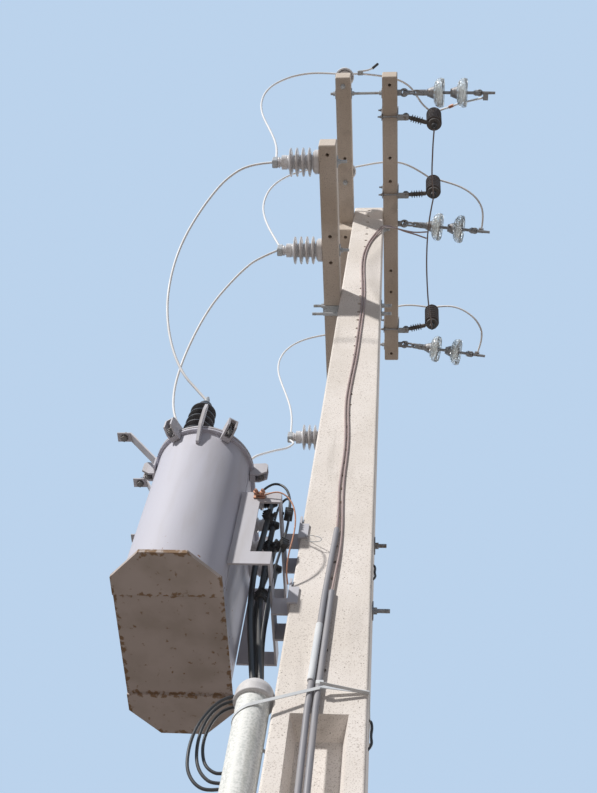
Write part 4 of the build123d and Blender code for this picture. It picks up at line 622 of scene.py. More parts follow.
WIRES: tuple[Wire, ...] = (
    Wire("jumper_1_upper", 1.746, (
        (-0.17, -0.9, 9.41), (-0.24, -0.9, 9.432), (-0.345, -0.899, 9.452), (-0.46, -0.892, 9.42),
        (-0.56, -0.882, 9.3), (-0.607, -0.872, 9.145), (-0.613, -0.862, 8.98), (-0.595, -0.853, 8.82),
        (-0.557, -0.846, 8.66), (-0.51, -0.839, 8.5), (-0.468, -0.833, 8.34), (-0.44, -0.829, 8.18),
        (-0.4319, -0.827, 8.0303),
    )),
    Wire("jumper_1_lower", 1.917, (
        (-0.4472, -0.827, 8), (-0.575, -0.81, 8.032), (-0.695, -0.75, 7.975), (-0.768, -0.692, 7.845),
        (-0.82, -0.643, 7.7), (-0.858, -0.597, 7.545), (-0.88, -0.55, 7.39), (-0.886, -0.5, 7.23),
        (-0.876, -0.452, 7.07), (-0.848, -0.402, 6.92), (-0.803, -0.352, 6.774), (-0.74, -0.308, 6.646),
        (-0.668, -0.272, 6.57), (-0.616, -0.25, 6.5102),
    )),
    Wire("jumper_2_upper", 1.668, (
        (-0.17, -0.3, 9.41), (-0.245, -0.3, 9.442), (-0.332, -0.301, 9.412), (-0.462, -0.304, 9.32),
        (-0.546, -0.309, 9.178), (-0.592, -0.314, 9.015), (-0.606, -0.318, 8.845), (-0.601, -0.322, 8.675),
        (-0.574, -0.326, 8.508), (-0.533, -0.329, 8.343), (-0.483, -0.331, 8.185),
        (-0.4319, -0.332, 8.0303),
    )),
    Wire("jumper_2_lower", 1.734, (
        (-0.4472, -0.332, 8), (-0.552, -0.312, 7.935), (-0.614, -0.288, 7.852), (-0.667, -0.262, 7.762),
        (-0.742, -0.22, 7.605), (-0.79, -0.18, 7.445), (-0.826, -0.138, 7.282), (-0.852, -0.094, 7.115),
        (-0.861, -0.05, 6.948), (-0.838, -0.016, 6.788), (-0.772, 0.004, 6.65), (-0.688, 0.006, 6.572),
        (-0.616, 0, 6.5102),
    )),
    Wire("jumper_3_upper", 1.674, (
        (-0.17, 0.9, 9.41), (-0.245, 0.899, 9.438), (-0.33, 0.897, 9.414), (-0.468, 0.891, 9.332),
        (-0.56, 0.884, 9.195), (-0.598, 0.876, 9.025), (-0.592, 0.869, 8.85), (-0.555, 0.863, 8.688),
        (-0.508, 0.858, 8.525), (-0.464, 0.855, 8.358), (-0.438, 0.853, 8.19), (-0.4319, 0.853, 8.0303),
    )),
    Wire("jumper_3_lower", 1.628, (
        (-0.4319, 0.853, 7.9697), (-0.4, 0.815, 7.88), (-0.392, 0.762, 7.782), (-0.391, 0.708, 7.675),
        (-0.397, 0.655, 7.57), (-0.408, 0.6, 7.468), (-0.428, 0.532, 7.35), (-0.449, 0.456, 7.209),
        (-0.469, 0.385, 7.078), (-0.489, 0.325, 6.961), (-0.512, 0.29, 6.85), (-0.54, 0.262, 6.735),
        (-0.578, 0.25, 6.62), (-0.616, 0.25, 6.5102),
    )),
    Wire("line_jumper_1", 0.59, (
        (-0.107, -0.9, 9.41), (-0.046, -0.897, 9.417), (0.03, -0.888, 9.42), (0.115, -0.874, 9.421),
        (0.197, -0.852, 9.42), (0.262, -0.81, 9.418), (0.303, -0.748, 9.412), (0.344, -0.692, 9.396),
        (0.3927, -0.661, 9.379),
    )),
    Wire("line_jumper_2", 0.53, (
        (-0.107, -0.3, 9.41), (-0.035, -0.312, 9.416), (0.06, -0.328, 9.419), (0.18, -0.334, 9.421),
        (0.296, -0.292, 9.404), (0.3927, -0.229, 9.379),
    )),
    Wire("line_jumper_3", 0.585, (
        (-0.107, 0.9, 9.41), (-0.052, 0.862, 9.42), (0, 0.8, 9.425), (0.082, 0.724, 9.424),
        (0.182, 0.674, 9.412), (0.296, 0.662, 9.396), (0.3927, 0.673, 9.379),
    )),
    Wire("arrester_tail_1", 0.382, (
        (0.4153, -0.661, 9.379), (0.455, -0.683, 9.362), (0.5, -0.709, 9.318), (0.552, -0.744, 9.272),
        (0.628, -0.779, 9.214), (0.691, -0.808, 9.1628),
    )),
    Wire("arrester_tail_2", 0.514, (
        (0.4153, -0.229, 9.379), (0.508, -0.213, 9.352), (0.606, -0.19, 9.302), (0.688, -0.138, 9.246),
        (0.722, -0.06, 9.188), (0.7055, 0.0237, 9.1492),
    )),
    Wire("arrester_tail_3", 0.559, (
        (0.4153, 0.673, 9.379), (0.512, 0.642, 9.352), (0.618, 0.652, 9.298), (0.706, 0.704, 9.236),
        (0.745, 0.792, 9.18), (0.7035, 0.8883, 9.1354),
    )),
    Wire("arrester_earth_1", 0.431, (
        (0.404, -0.6557, 9.0637), (0.398, -0.592, 9.04), (0.395, -0.505, 9.028), (0.392, -0.402, 9.029),
        (0.396, -0.312, 9.042), (0.404, -0.2343, 9.0637),
    ), 0.009, Finish.EARTH_PAINTED_SHADE),
    Wire("arrester_earth_2", 0.899, (
        (0.404, -0.2237, 9.0637), (0.386, -0.135, 9.048), (0.372, -0.02, 9.041), (0.366, 0.1, 9.042),
        (0.365, 0.225, 9.041), (0.37, 0.35, 9.043), (0.377, 0.465, 9.04), (0.39, 0.575, 9.047),
        (0.404, 0.6677, 9.0637),
    ), 0.009, Finish.EARTH_PAINTED_SHADE),
    Wire("pole_earth_1", 3.576, (
        (0.3637, 0.036, 9.042), (0.3, 0.016, 9.056), (0.238, 0.004, 9.07), (0.178, -0.022, 9.068),
        (0.128, -0.056, 9.028), (0.088, -0.0833, 8.955), (0.054, -0.0813, 8.85), (0.024, -0.0804, 8.74),
        (0.004, -0.0815, 8.63), (-0.008, -0.0827, 8.515), (-0.011, -0.0838, 8.395),
        (-0.007, -0.0851, 8.27), (0, -0.0863, 8.145), (0.006, -0.0876, 8.02), (0.01, -0.0888, 7.895),
        (0.011, -0.0901, 7.77), (0.009, -0.0914, 7.645), (0.006, -0.0926, 7.52), (0.004, -0.0939, 7.395),
        (0.001, -0.0951, 7.27), (-0.004, -0.0964, 7.145), (-0.011, -0.0976, 7.02),
        (-0.017, -0.0988, 6.895), (-0.02, -0.1001, 6.77), (-0.016, -0.1013, 6.645),
        (-0.008, -0.1026, 6.52), (-0.003, -0.1038, 6.395), (-0.004, -0.1051, 6.27),
        (-0.008, -0.1064, 6.145), (-0.009, -0.1076, 6.02), (-0.004, -0.1117, 5.91),
        (-0.001, -0.1156, 5.82), (-0.001, -0.1168, 5.7473),
    ), 0.009, Finish.DULL_WIRE, lay="taut"),
    Wire("pole_earth_2", 3.91, (
        (0.3662, -0.008, 9.041), (0.304, -0.006, 9.032), (0.244, -0.014, 9.038), (0.19, -0.034, 9.027),
        (0.144, -0.062, 8.992), (0.104, -0.0864, 8.935), (0.07, -0.0814, 8.84), (0.038, -0.0804, 8.745),
        (0.018, -0.0814, 8.635), (0.006, -0.0826, 8.52), (0.003, -0.0838, 8.4), (0.007, -0.0851, 8.275),
        (0.014, -0.0863, 8.15), (0.02, -0.0876, 8.025), (0.024, -0.0888, 7.9), (0.025, -0.0901, 7.775),
        (0.023, -0.0913, 7.65), (0.02, -0.0925, 7.525), (0.018, -0.0938, 7.4), (0.015, -0.095, 7.275),
        (0.01, -0.0963, 7.15), (0.003, -0.0975, 7.025), (-0.003, -0.0988, 6.9), (-0.006, -0.1001, 6.775),
        (-0.002, -0.1013, 6.65), (0.006, -0.1026, 6.525), (0.011, -0.1038, 6.4), (0.01, -0.1051, 6.275),
        (0.007, -0.1063, 6.15), (0.008, -0.1076, 6.025), (0.012, -0.1087, 5.91), (0.018, -0.1099, 5.795),
        (0.02, -0.111, 5.68), (0.017, -0.1151, 5.57), (0.009, -0.1192, 5.465), (0.003, -0.1207, 5.3573),
    ), 0.009, Finish.DULL_WIRE, lay="taut"),
    Wire("lv_cable_1", 0.95, (
        (-0.264, -0.165, 5.8377), (-0.27, -0.168, 5.67), (-0.288, -0.152, 5.47), (-0.285, -0.13, 5.27),
        (-0.262, -0.118, 5.08), (-0.2328, -0.108, 4.8943),
    ), 0.022, Finish.CABLE),
    Wire("lv_cable_2", 0.949, (
        (-0.264, -0.055, 5.8377), (-0.266, -0.07, 5.66), (-0.26, -0.098, 5.46), (-0.252, -0.112, 5.265),
        (-0.232, -0.112, 5.075), (-0.2068, -0.108, 4.8943),
    ), 0.022, Finish.CABLE),
    Wire("lv_cable_3", 0.959, (
        (-0.264, 0.055, 5.8377), (-0.268, 0.03, 5.66), (-0.282, -0.022, 5.46), (-0.272, -0.062, 5.265),
        (-0.246, -0.08, 5.07), (-0.2328, -0.082, 4.8943),
    ), 0.022, Finish.CABLE),
    Wire("lv_cable_4", 0.98, (
        (-0.264, 0.165, 5.8377), (-0.266, 0.132, 5.66), (-0.254, 0.062, 5.46), (-0.244, -0.008, 5.265),
        (-0.228, -0.056, 5.07), (-0.2068, -0.082, 4.8943),
    ), 0.022, Finish.CABLE),
    Wire("cable_loop_1", 0.504, (
        (-0.2838, -0.1109, 4.818), (-0.318, -0.113, 4.806), (-0.356, -0.113, 4.752),
        (-0.385, -0.112, 4.682), (-0.397, -0.112, 4.604), (-0.394, -0.11, 4.524), (-0.38, -0.109, 4.476),
        (-0.352, -0.106, 4.438), (-0.316, -0.103, 4.422), (-0.282, -0.0999, 4.432),
    ), 0.011, Finish.CABLE, "limp", "coiled"),
    Wire("cable_loop_2", 0.436, (
        (-0.2855, -0.0893, 4.818), (-0.316, -0.089, 4.811), (-0.35, -0.089, 4.77), (-0.372, -0.089, 4.706),
        (-0.379, -0.088, 4.636), (-0.373, -0.086, 4.566), (-0.358, -0.085, 4.52), (-0.334, -0.083, 4.488),
        (-0.308, -0.081, 4.472), (-0.2797, -0.0803, 4.474),
    ), 0.011, Finish.CABLE, "limp", "coiled"),
    Wire("cable_loop_3", 0.383, (
        (-0.2791, -0.0662, 4.818), (-0.308, -0.065, 4.812), (-0.34, -0.065, 4.776), (-0.36, -0.065, 4.716),
        (-0.367, -0.064, 4.65), (-0.358, -0.063, 4.592), (-0.343, -0.063, 4.556), (-0.318, -0.062, 4.534),
        (-0.296, -0.062, 4.528), (-0.271, -0.0632, 4.534),
    ), 0.011, Finish.CABLE, "limp", "coiled"),
)

LOOSE_WIRES: tuple[Wire, ...] = (
    Wire("earth_lead", 0.5, (
        (-0.277, -0.2525, 5.778), (-0.25, -0.262, 5.783), (-0.215, -0.268, 5.776), (-0.178, -0.262, 5.742),
        (-0.155, -0.25, 5.69), (-0.146, -0.235, 5.625), (-0.15, -0.215, 5.56), (-0.162, -0.19, 5.5),
        (-0.168, -0.16, 5.45), (-0.166, -0.135, 5.415), (-0.16, -0.1195, 5.395),
    ), 0.006, Finish.COPPER, solid=False),
    Wire("gland_cable", 1.3, (
        (-0.3705, -0.14, 5.935), (-0.345, -0.14, 5.94), (-0.318, -0.14, 5.965), (-0.3, -0.14, 6.0),
        (-0.272, -0.14, 6.026), (-0.24, -0.142, 6.012), (-0.216, -0.145, 5.975), (-0.2, -0.15, 5.92),
        (-0.191, -0.152, 5.85), (-0.188, -0.152, 5.76), (-0.192, -0.15, 5.66), (-0.205, -0.146, 5.54),
        (-0.218, -0.14, 5.42), (-0.224, -0.134, 5.3), (-0.226, -0.122, 5.15), (-0.222, -0.104, 5.0),
        (-0.2195, -0.095, 4.8945),
    ), 0.010, Finish.CABLE, solid=False),
    Wire("bridge_cable", 0.3, (
        (-0.262, -0.055, 5.872), (-0.26, -0.058, 5.92), (-0.25, -0.07, 5.965), (-0.228, -0.09, 5.985),
        (-0.208, -0.115, 5.955), (-0.198, -0.132, 5.91), (-0.196, -0.138, 5.865), (-0.194, -0.142, 5.825),
    ), 0.010, Finish.CABLE, solid=False),
)


# Workbench


class Bench:
    """Hand tools that make, copy and finish meshes."""

    @staticmethod
    def turned(steps: Sequence[tuple[float, float]], sides: int = 20) -> Model:
        """Turn a closed solid about Z by drawing one ring out of the last.

        Args:
            steps: Height and radius of each ring, in order.
            sides: Corners of each ring.

        Returns:
            The solid, at the origin.
        """
        bpy.ops.object.select_all(action="DESELECT")
        height, radius = steps[0]
        bpy.ops.mesh.primitive_circle_add(
            vertices=sides, radius=radius, fill_type="NGON", location=(0, 0, height),
        )
        bpy.ops.object.mode_set(mode="EDIT")
        bpy.ops.mesh.select_all(action="SELECT")
        for level, wide in steps[1:]:
            bpy.ops.mesh.extrude_region_move(TRANSFORM_OT_translate={"value": (0, 0, level - height)})
            share = wide / radius
            bpy.ops.transform.resize(value=(share, share, 1), center_override=(0, 0, level))
            height, radius = level, wide
        bpy.ops.mesh.select_all(action="SELECT")
        bpy.ops.mesh.normals_make_consistent(inside=False)
        bpy.ops.object.mode_set(mode="OBJECT")
        bpy.ops.object.transform_apply(location=True, rotation=True, scale=True)
        return bpy.context.object

    @staticmethod
    def slab(size: Point, at: Point, edge: float = 0.0008) -> Model:
        """Make a block at its size and place, with rounded edges.

        Args:
            size: Along X, Y and Z.
            at: Its centre.
            edge: How far its edges are rounded.

        Returns:
            The block.
        """
        bpy.ops.object.select_all(action="DESELECT")
        bpy.ops.mesh.primitive_cube_add(size=1, location=at, scale=size)
        bpy.ops.object.transform_apply(location=True, rotation=True, scale=True)
        bpy.ops.object.mode_set(mode="EDIT")
        bpy.ops.mesh.select_all(action="SELECT")
        bpy.ops.mesh.bevel(offset=edge, segments=2)
        bpy.ops.object.mode_set(mode="OBJECT")
        return bpy.context.object

    @staticmethod
    def rod(route: Sequence[Point], radius: float) -> Model:
        """Bend a round rod along smooth points.

        Args:
            route: The line's control points.
            radius: The rod's radius.

        Returns:
            The rod as a mesh.
        """
        rod = smooth_line("rod", route, radius, sides=3, steps=8)
        bpy.ops.object.select_all(action="DESELECT")
        rod.select_set(True)
        bpy.context.view_layer.objects.active = rod
        bpy.ops.object.convert(target="MESH")
        return bpy.context.object

    @staticmethod
    def set_out(model: Model, places: Iterable[Matrix], rise: float = 0.0) -> list[Model]:
        """Copy a model to each place, each copy with its own mesh, and put the model away.

        Args:
            model: What is copied, at the origin.
            places: Where each copy goes.
            rise: How far it is lifted along each place's own Z axis.

        Returns:
            The copies.
        """
        copies = []
        for place in places:
            mesh = model.data.copy()
            mesh.transform(place @ Matrix.Translation((0, 0, rise)))
            copy = bpy.data.objects.new(model.name, mesh)
            bpy.context.scene.collection.objects.link(copy)
            copies.append(copy)
        bpy.data.objects.remove(model)
        return copies

    @staticmethod
    def finished(
        name: str, parts: Sequence[Model], finish: Finish, slot: str, smooth: float = 35.0,
    ) -> Model:
        """Join parts into one piece, smooth it, dress it and fix it to the pole.

        Args:
            name: The piece's name.
            parts: What it is made of.
            finish: Its finish.
            slot: A material slot's name; not used.
            smooth: The sharpest edge that is smoothed, in degrees.

        Returns:
            The piece.
        """
        bpy.ops.object.select_all(action="DESELECT")
        for part in parts:
            part.select_set(True)
        bpy.context.view_layer.objects.active = parts[0]
        if len(parts) > 1:
            bpy.ops.object.join()
        piece = bpy.context.view_layer.objects.active
        bpy.ops.object.shade_smooth_by_angle(angle=math.radians(smooth))
        piece.name = piece.data.name = name
        piece.data.materials.clear()
        piece.data.materials.append(finish.material)
        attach(piece, "root")
        LOG.info("%s is made, %d faces", name, len(piece.data.polygons))
        return piece


def facing(at: Sequence[float], along: Sequence[float], turn: float = 0.0) -> Matrix:
    """Point a part along a direction.

    Args:
        at: Where its origin goes.
        along: Where its Z axis leads.
        turn: How far it is turned about that axis, in degrees.

    Returns:
        Its place.
    """
    lead = Vector(along).to_track_quat("Z", "Y").to_matrix().to_4x4()
    return Matrix.Translation(at) @ lead @ Matrix.Rotation(math.radians(turn), 4, "Z")


# Fittings


@dataclass(frozen=True)
class Fastening:
    """Hexagon nuts, washers and threaded ends of one size."""

    bolt_radius: float = 0.008
    nut_radius: float = 0.0139
    nut_height: float = 0.013
    pitch: float = 0.0035

    def nut(self) -> Model:
        """Make a nut with chamfered rims.

        Returns:
            The nut, standing on the origin.
        """
        rim, chamfer, high = self.nut_radius, 0.0012, self.nut_height
        steps = ((0, rim - 2 * chamfer), (chamfer, rim), (high - chamfer, rim), (high, rim - 2 * chamfer))
        return Bench.turned(steps, 6)

    def washer(self, radius: float, thickness: float = 0.003) -> Model:
        """Make a round washer.

        Args:
            radius: Its radius.
            thickness: Its thickness.

        Returns:
            The washer, under the origin.
        """
        edge = 0.0006
        inner = radius - edge
        rings = ((-thickness, inner), (edge - thickness, radius), (-edge, radius), (0, inner))
        return Bench.turned(rings, 24)

    def thread(self, length: float) -> Model:
        """Cut a threaded end with a chamfer on its tip.

        Args:
            length: Its length.

        Returns:
            The end, rising from the origin.
        """
        root, crest, tip = (self.bolt_radius * share for share in (0.9, 1.06, 0.72))
        steps = [(0.0, root)]
        for ring in range(int(length / self.pitch)):
            foot = ring * self.pitch
            steps += [(foot + self.pitch * 0.45, crest), (foot + self.pitch * 0.55, crest)]
            steps.append((foot + self.pitch, root))
        steps.append((steps[-1][0] + 0.0015, tip))
        return Bench.turned(steps, 16)


@dataclass
class GlassDiscs:
    """The ribbed glass shells of the three strings."""

    face_x: float = 0.183
    arm_z: float = 9.200
    shackle_x: float = 0.0463
    reach: float = 0.496
    starts: tuple[float, ...] = (-0.838, 0.0, 0.860)
    drops: tuple[float, ...] = (0.040, 0.085, 0.100)
    drifts: tuple[float, ...] = (0.0, 0.025, 0.030)
    discs: tuple[float, ...] = (0.232, 0.369)
    dome: tuple[tuple[float, float], ...] = (
        (-0.013, 0.022), (-0.0135, 0.042), (-0.010, 0.059), (-0.002, 0.073), (0.008, 0.082),
        (0.020, 0.0868), (0.032, 0.0872), (0.042, 0.0845), (0.046, 0.081), (0.044, 0.0775),
    )
    rib_radii: tuple[float, ...] = (0.066, 0.049, 0.032)
    rib_depth: float = 0.026
    rib_root: float = 0.012
    rib_step: float = 0.0025

    def shell(self) -> Model:
        """Blow one shell, with ribs inside its open end.

        Returns:
            The shell, its cap's end towards -Z.
        """
        steps = list(self.dome)
        for number, radius in enumerate(self.rib_radii):
            root = self.rib_root - self.rib_step * number
            edge = root + self.rib_depth
            steps += [
                (root, radius + 0.0065), (edge, radius + 0.002), (edge + 0.0025, radius),
                (edge, radius - 0.002), (root - 0.001, radius - 0.0055),
            ]
        steps.append((self.rib_root - 0.007, 0.016))
        return Bench.turned(steps, 48)

    def build(self) -> None:
        """Thread two shells on each string in place of the solid ones."""
        places = []
        for start, drop, drift in zip(self.starts, self.drops, self.drifts):
            along = Vector((self.reach, drift, -drop)).normalized()
            pivot = Vector((self.face_x + self.shackle_x, start, self.arm_z))
            places += [facing(pivot + along * (disc - self.shackle_x), along) for disc in self.discs]
        shells = Bench.set_out(self.shell(), places)
        piece = Bench.finished("glass_shells", shells, Finish.GLASS, "clear_glass", 55.0)
        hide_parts("glass_discs")


@dataclass
class RodEnds:
    """Threads on the through bolts' ends."""

    fastening: Fastening = Fastening()
    rods: tuple[tuple[float, float, float, float], ...] = (
        (-0.838, 9.200, -0.217, 0.195), (0.860, 9.200, -0.217, 0.195), (0.0, 9.200, -0.217, 0.195),
        (0.0, 9.100, -0.225, 0.134), (0.0, 8.000, -0.262, 0.167), (0.0, 7.900, -0.262, 0.169),
        (0.0, 5.800, -0.182, 0.190), (0.0, 5.400, -0.187, 0.212),
    )
    eyed: int = 3
    twist: float = 10.0
    thread_length: float = 0.020

    def build(self) -> None:
        """Cut the threads over the ends that stand free."""
        ends = []
        for number, (y, z, left, right) in enumerate(self.rods):
            ends.append(facing((left + self.thread_length, y, z), (-1, 0, 0), self.twist * number))
            if number >= self.eyed:
                ends.append(facing((right - self.thread_length, y, z), (1, 0, 0), self.twist * number))
        threads = Bench.set_out(self.fastening.thread(self.thread_length - 0.003), ends)
        Bench.finished("rod_threads", threads, Finish.DARK_ZINC, "galvanised_steel", 20.0)


@dataclass
class LidBolts:
    """The bolts that draw each lid clamp down on the rim."""

    tank_x: float = -0.558
    radius: float = 0.187
    end_y: float = 0.198
    rim_z: float = 6.035
    end_angle: float = 31.0
    side_y: float = 0.185
    reach: float = 0.047
    foot: float = -0.046
    head: float = 0.046
    plate_size: Point = (0.026, 0.022, 0.005)
    plate_z: float = -0.0285
    lower_nut_z: float = -0.0412
    upper_nut_z: float = 0.020
    fastening: Fastening = Fastening(0.006, 0.0108, 0.010, 0.003)

    def places(self) -> list[Matrix]:
        """Find the clamps on the tank's wall.

        Returns:
            Each clamp's place, its X axis pointing outwards.
        """
        found = []
        for side in (-1, 1):
            for angle in (-self.end_angle, self.end_angle):
                turn = math.radians(side * 90 + angle)
                wall = (
                    self.tank_x + self.radius * math.cos(turn),
                    side * self.end_y + self.radius * math.sin(turn), self.rim_z,
                )
                found.append(Matrix.Translation(wall) @ Matrix.Rotation(turn, 4, "Z"))
            for y in (-self.side_y, self.side_y):
                wall = (self.tank_x + side * self.radius, y, self.rim_z)
                found.append(Matrix.Translation(wall) @ Matrix.Rotation(math.pi * (side < 0), 4, "Z"))
        return found

    def build(self) -> None:
        """Put a stud, a bearing plate and two nuts into each clamp."""
        stud = Bench.turned(((self.foot, 0.005), (self.foot + 0.002, 0.006), (self.head, 0.006)), 14)
        plate = Bench.slab(self.plate_size, (0, 0, self.plate_z))
        under, over = self.fastening.nut(), self.fastening.nut()
        under.data.transform(Matrix.Translation((0, 0, self.lower_nut_z)))
        over.data.transform(Matrix.Translation((0, 0, self.upper_nut_z)))
        bolt = Bench.finished("lid_bolt", (stud, plate, under, over), Finish.DARK_ZINC, "galvanised_steel")
        places = [place @ Matrix.Translation((self.reach, 0, 0)) for place in self.places()]
        Bench.finished("lid_bolts", Bench.set_out(bolt, places), Finish.DARK_ZINC, "galvanised_steel")


@dataclass
class BarBolts:
    """A bolt with washers through the level tab of each slanted bar."""

    tabs: tuple[Point, ...] = ((-0.916, -0.262, 6.182), (-0.873, -0.033, 6.182), (-0.916, 0.262, 6.182))
    half_tab: float = 0.003
    washer_radius: float = 0.016
    washer_thickness: float = 0.003
    thread_length: float = 0.026
    thread_rise: float = 0.004
    fastening: Fastening = Fastening()

    def build(self) -> None:
        """Set a head below, a nut above and a washer on each face of every tab."""
        upward = [Matrix.Translation(tab) for tab in self.tabs]
        downward = [place @ Matrix.Rotation(math.pi, 4, "X") for place in upward]
        rise = self.half_tab + self.washer_thickness
        parts = []
        for places in (upward, downward):
            washer = self.fastening.washer(self.washer_radius, self.washer_thickness)
            parts += Bench.set_out(washer, places, rise)
            parts += Bench.set_out(self.fastening.nut(), places, rise)
        parts += Bench.set_out(self.fastening.thread(self.thread_length), upward, self.thread_rise)
        Bench.finished("bar_bolts", parts, Finish.DARK_ZINC, "galvanised_steel")


@dataclass
class BushingTops:
    """Nuts on the high-voltage studs and the ferrules that take their wires."""

    studs: tuple[Point, ...] = tuple((-0.616, y, 6.4665) for y in (-0.25, 0.0, 0.25))
    washer_radius: float = 0.020
    nuts: tuple[tuple[float, float], ...] = ((0.0032, 0.2), (0.0148, 0.7))
    ferrule_rise: float = 0.020
    fastening: Fastening = Fastening(0.009, 0.0165, 0.011, 0.003)

    def build(self) -> None:
        """Stack a washer, two nuts and a ferrule on each stud."""
        places = [Matrix.Translation(stud) for stud in self.studs]
        parts = Bench.set_out(self.fastening.washer(self.washer_radius), places, 0.003)
        for level, turn in self.nuts:
            twist = Matrix.Rotation(turn, 4, "Z")
            parts += Bench.set_out(self.fastening.nut(), [place @ twist for place in places], level)
        ferrule = Bench.turned((
            (0, 0.0105), (0.002, 0.0125), (0.030, 0.0125),
            (0.036, 0.0088), (0.050, 0.0078), (0.051, 0.0066),
        ))
        parts += Bench.set_out(ferrule, places, self.ferrule_rise)
        Bench.finished("bushing_terminals", parts, Finish.ZINC, "galvanised_steel")


@dataclass
class ArresterTops:
    """Nuts and clamping washers on the arresters' line terminals."""

    terminals: tuple[Point, ...] = tuple((0.404, y, 9.3645) for y in (-0.661, -0.229, 0.673))
    washer_radius: float = 0.022
    washer_rise: float = 0.0025
    nut_rise: float = 0.0225
    fastening: Fastening = Fastening(0.011, 0.0185, 0.008, 0.003)

    def build(self) -> None:
        """Put a washer and a nut on each terminal."""
        places = [Matrix.Translation(top) for top in self.terminals]
        parts = Bench.set_out(self.fastening.washer(self.washer_radius), places, self.washer_rise)
        parts += Bench.set_out(self.fastening.nut(), places, self.nut_rise)
        Bench.finished("arrester_nuts", parts, Finish.DARK_ZINC, "galvanised_steel")


@dataclass
class LowVoltageBoots:
    """Ribbed black boots over the low-voltage terminals."""

    tip_x: float = -0.292
    ys: tuple[float, ...] = (-0.165, -0.055, 0.055, 0.165)
    z: float = 5.850
    ribs: int = 4
    rib_pitch: float = 0.008
    screw_x: float = -0.272
    screw_rise: float = 0.019

    def build(self) -> None:
        """Slide one boot over each terminal, with its clamping screw above."""
        steps = [(0.0, 0.021), (0.003, 0.023)]
        for ring in range(self.ribs):
            level = self.rib_pitch * ring
            steps += [(0.006 + level, 0.0185), (0.010 + level, 0.0215)]
        steps += [(0.041, 0.017), (0.050, 0.014), (0.052, 0.011)]
        boots = Bench.set_out(
            Bench.turned(steps, 24), [facing((self.tip_x, y, self.z), (1, 0, 0)) for y in self.ys],
        )
        screw = Fastening(0.005, 0.0095, 0.009, 0.003).nut()
        level = self.z + self.screw_rise
        screws = Bench.set_out(screw, [Matrix.Translation((self.screw_x, y, level)) for y in self.ys])
        Bench.finished("terminal_boots", boots + screws, Finish.BLACK, "black_plastic")


@dataclass
class CableTaps:
    """Bolted black tap connectors on the low-voltage cables."""

    places: tuple[tuple[Point, Point], ...] = (
        ((-0.268, -0.168, 5.755), (0.05, -0.02, 1.0)), ((-0.264, -0.068, 5.690), (0.05, -0.10, 1.0)),
        ((-0.197, -0.147, 5.600), (-0.12, 0.03, 1.0)), ((-0.256, -0.108, 5.345), (0.10, -0.05, 1.0)),
        ((-0.193, -0.147, 5.800), (0.0, 0.0, 1.0)),
    )

    def build(self) -> None:
        """Mould one connector with its ribbed grips and shear bolt, and clip it on at each place."""
        body = Bench.slab((0.040, 0.030, 0.046), (0, 0, 0), 0.006)
        ribs = [Bench.slab((0.044, 0.033, 0.004), (0, 0, level), 0.0015) for level in (-0.014, 0.0, 0.014)]
        bolt = Bench.turned(
            ((0.018, 0.006), (0.026, 0.006), (0.0265, 0.0088), (0.034, 0.0088), (0.035, 0.008)), 6,
        )
        bolt.data.transform(Matrix.Rotation(math.radians(90), 4, "X"))
        tap = Bench.finished("tap", (body, *ribs, bolt), Finish.BLACK, "black_plastic")
        places = [facing(at, along, 25 * number) for number, (at, along) in enumerate(self.places)]
        Bench.finished("cable_taps", Bench.set_out(tap, places), Finish.BLACK, "black_plastic")


@dataclass
class EarthClamp:
    """The bronze clamp that holds the earthing wire on the hanger's upper corner."""

    at: Point = (-0.300, -0.2455, 5.778)
    half_pitch: float = 0.013
    fastening: Fastening = Fastening(0.006, 0.0110, 0.009, 0.003)

    def build(self) -> None:
        """Make the saddle, its jaw and two bolts."""
        x, y, z = self.at
        parts = [
            Bench.slab((0.046, 0.007, 0.024), (x, y, z), 0.002),
            Bench.slab((0.040, 0.007, 0.020), (x, y - 0.013, z), 0.003),
        ]
        for shift in (-self.half_pitch, self.half_pitch):
            nut = self.fastening.nut()
            nut.data.transform(facing((x + shift, y - 0.0165, z), (0, -1, 0), 20))
            stem = self.fastening.thread(0.010)
            stem.data.transform(facing((x + shift, y - 0.024, z), (0, -1, 0)))
            parts += [nut, stem]
        Bench.finished("earth_clamp", parts, Finish.COPPER, "galvanised_steel")


@dataclass
class LineConnectors:
    """The clamps, lugs and cut tails on the upper wires."""

    clamp: Point = (-0.046, -0.897, 9.417)
    tail: tuple[Point, ...] = (
        (-0.055, -0.912, 9.418), (-0.02, -0.913, 9.421), (0.02, -0.917, 9.440), (0.045, -0.93, 9.468),
    )
    lug: Point = (0.497, -0.708, 9.322)

    def build(self) -> None:
        """Make the parallel clamp with its cut tail, and the lug on the arrester's tail."""
        x, y, z = self.clamp
        body = Bench.slab((0.034, 0.030, 0.018), (x, y - 0.006, z), 0.004)
        bolt = Fastening(0.004, 0.0085, 0.007, 0.003).nut()
        bolt.data.transform(Matrix.Translation((x, y - 0.007, z - 0.016)))
        Bench.finished("line_clamp", (body, bolt), Finish.ZINC, "galvanised_steel")
        tail = Bench.rod(self.tail, 0.006)
        Bench.finished("cut_tail", (tail,), Finish.WIRE, "light_wire")
        end = Vector(self.tail[-1])
        lead = end - Vector(self.tail[-2])
        sleeve = Bench.turned(((-0.030, 0.0068), (-0.028, 0.0082), (0.020, 0.0082), (0.024, 0.0070)), 18)
        sleeve.data.transform(facing(end, lead))
        Bench.finished("tail_sleeve", (sleeve,), Finish.BLACK, "black_plastic")
        sleeve = Bench.turned(((0, 0.0068), (0.002, 0.010), (0.034, 0.010), (0.040, 0.0075)), 18)
        sleeve.data.transform(facing(self.lug, (0.52, -0.37, -0.48)))
        Bench.finished("tail_lug", (sleeve,), Finish.COPPER, "galvanised_steel")


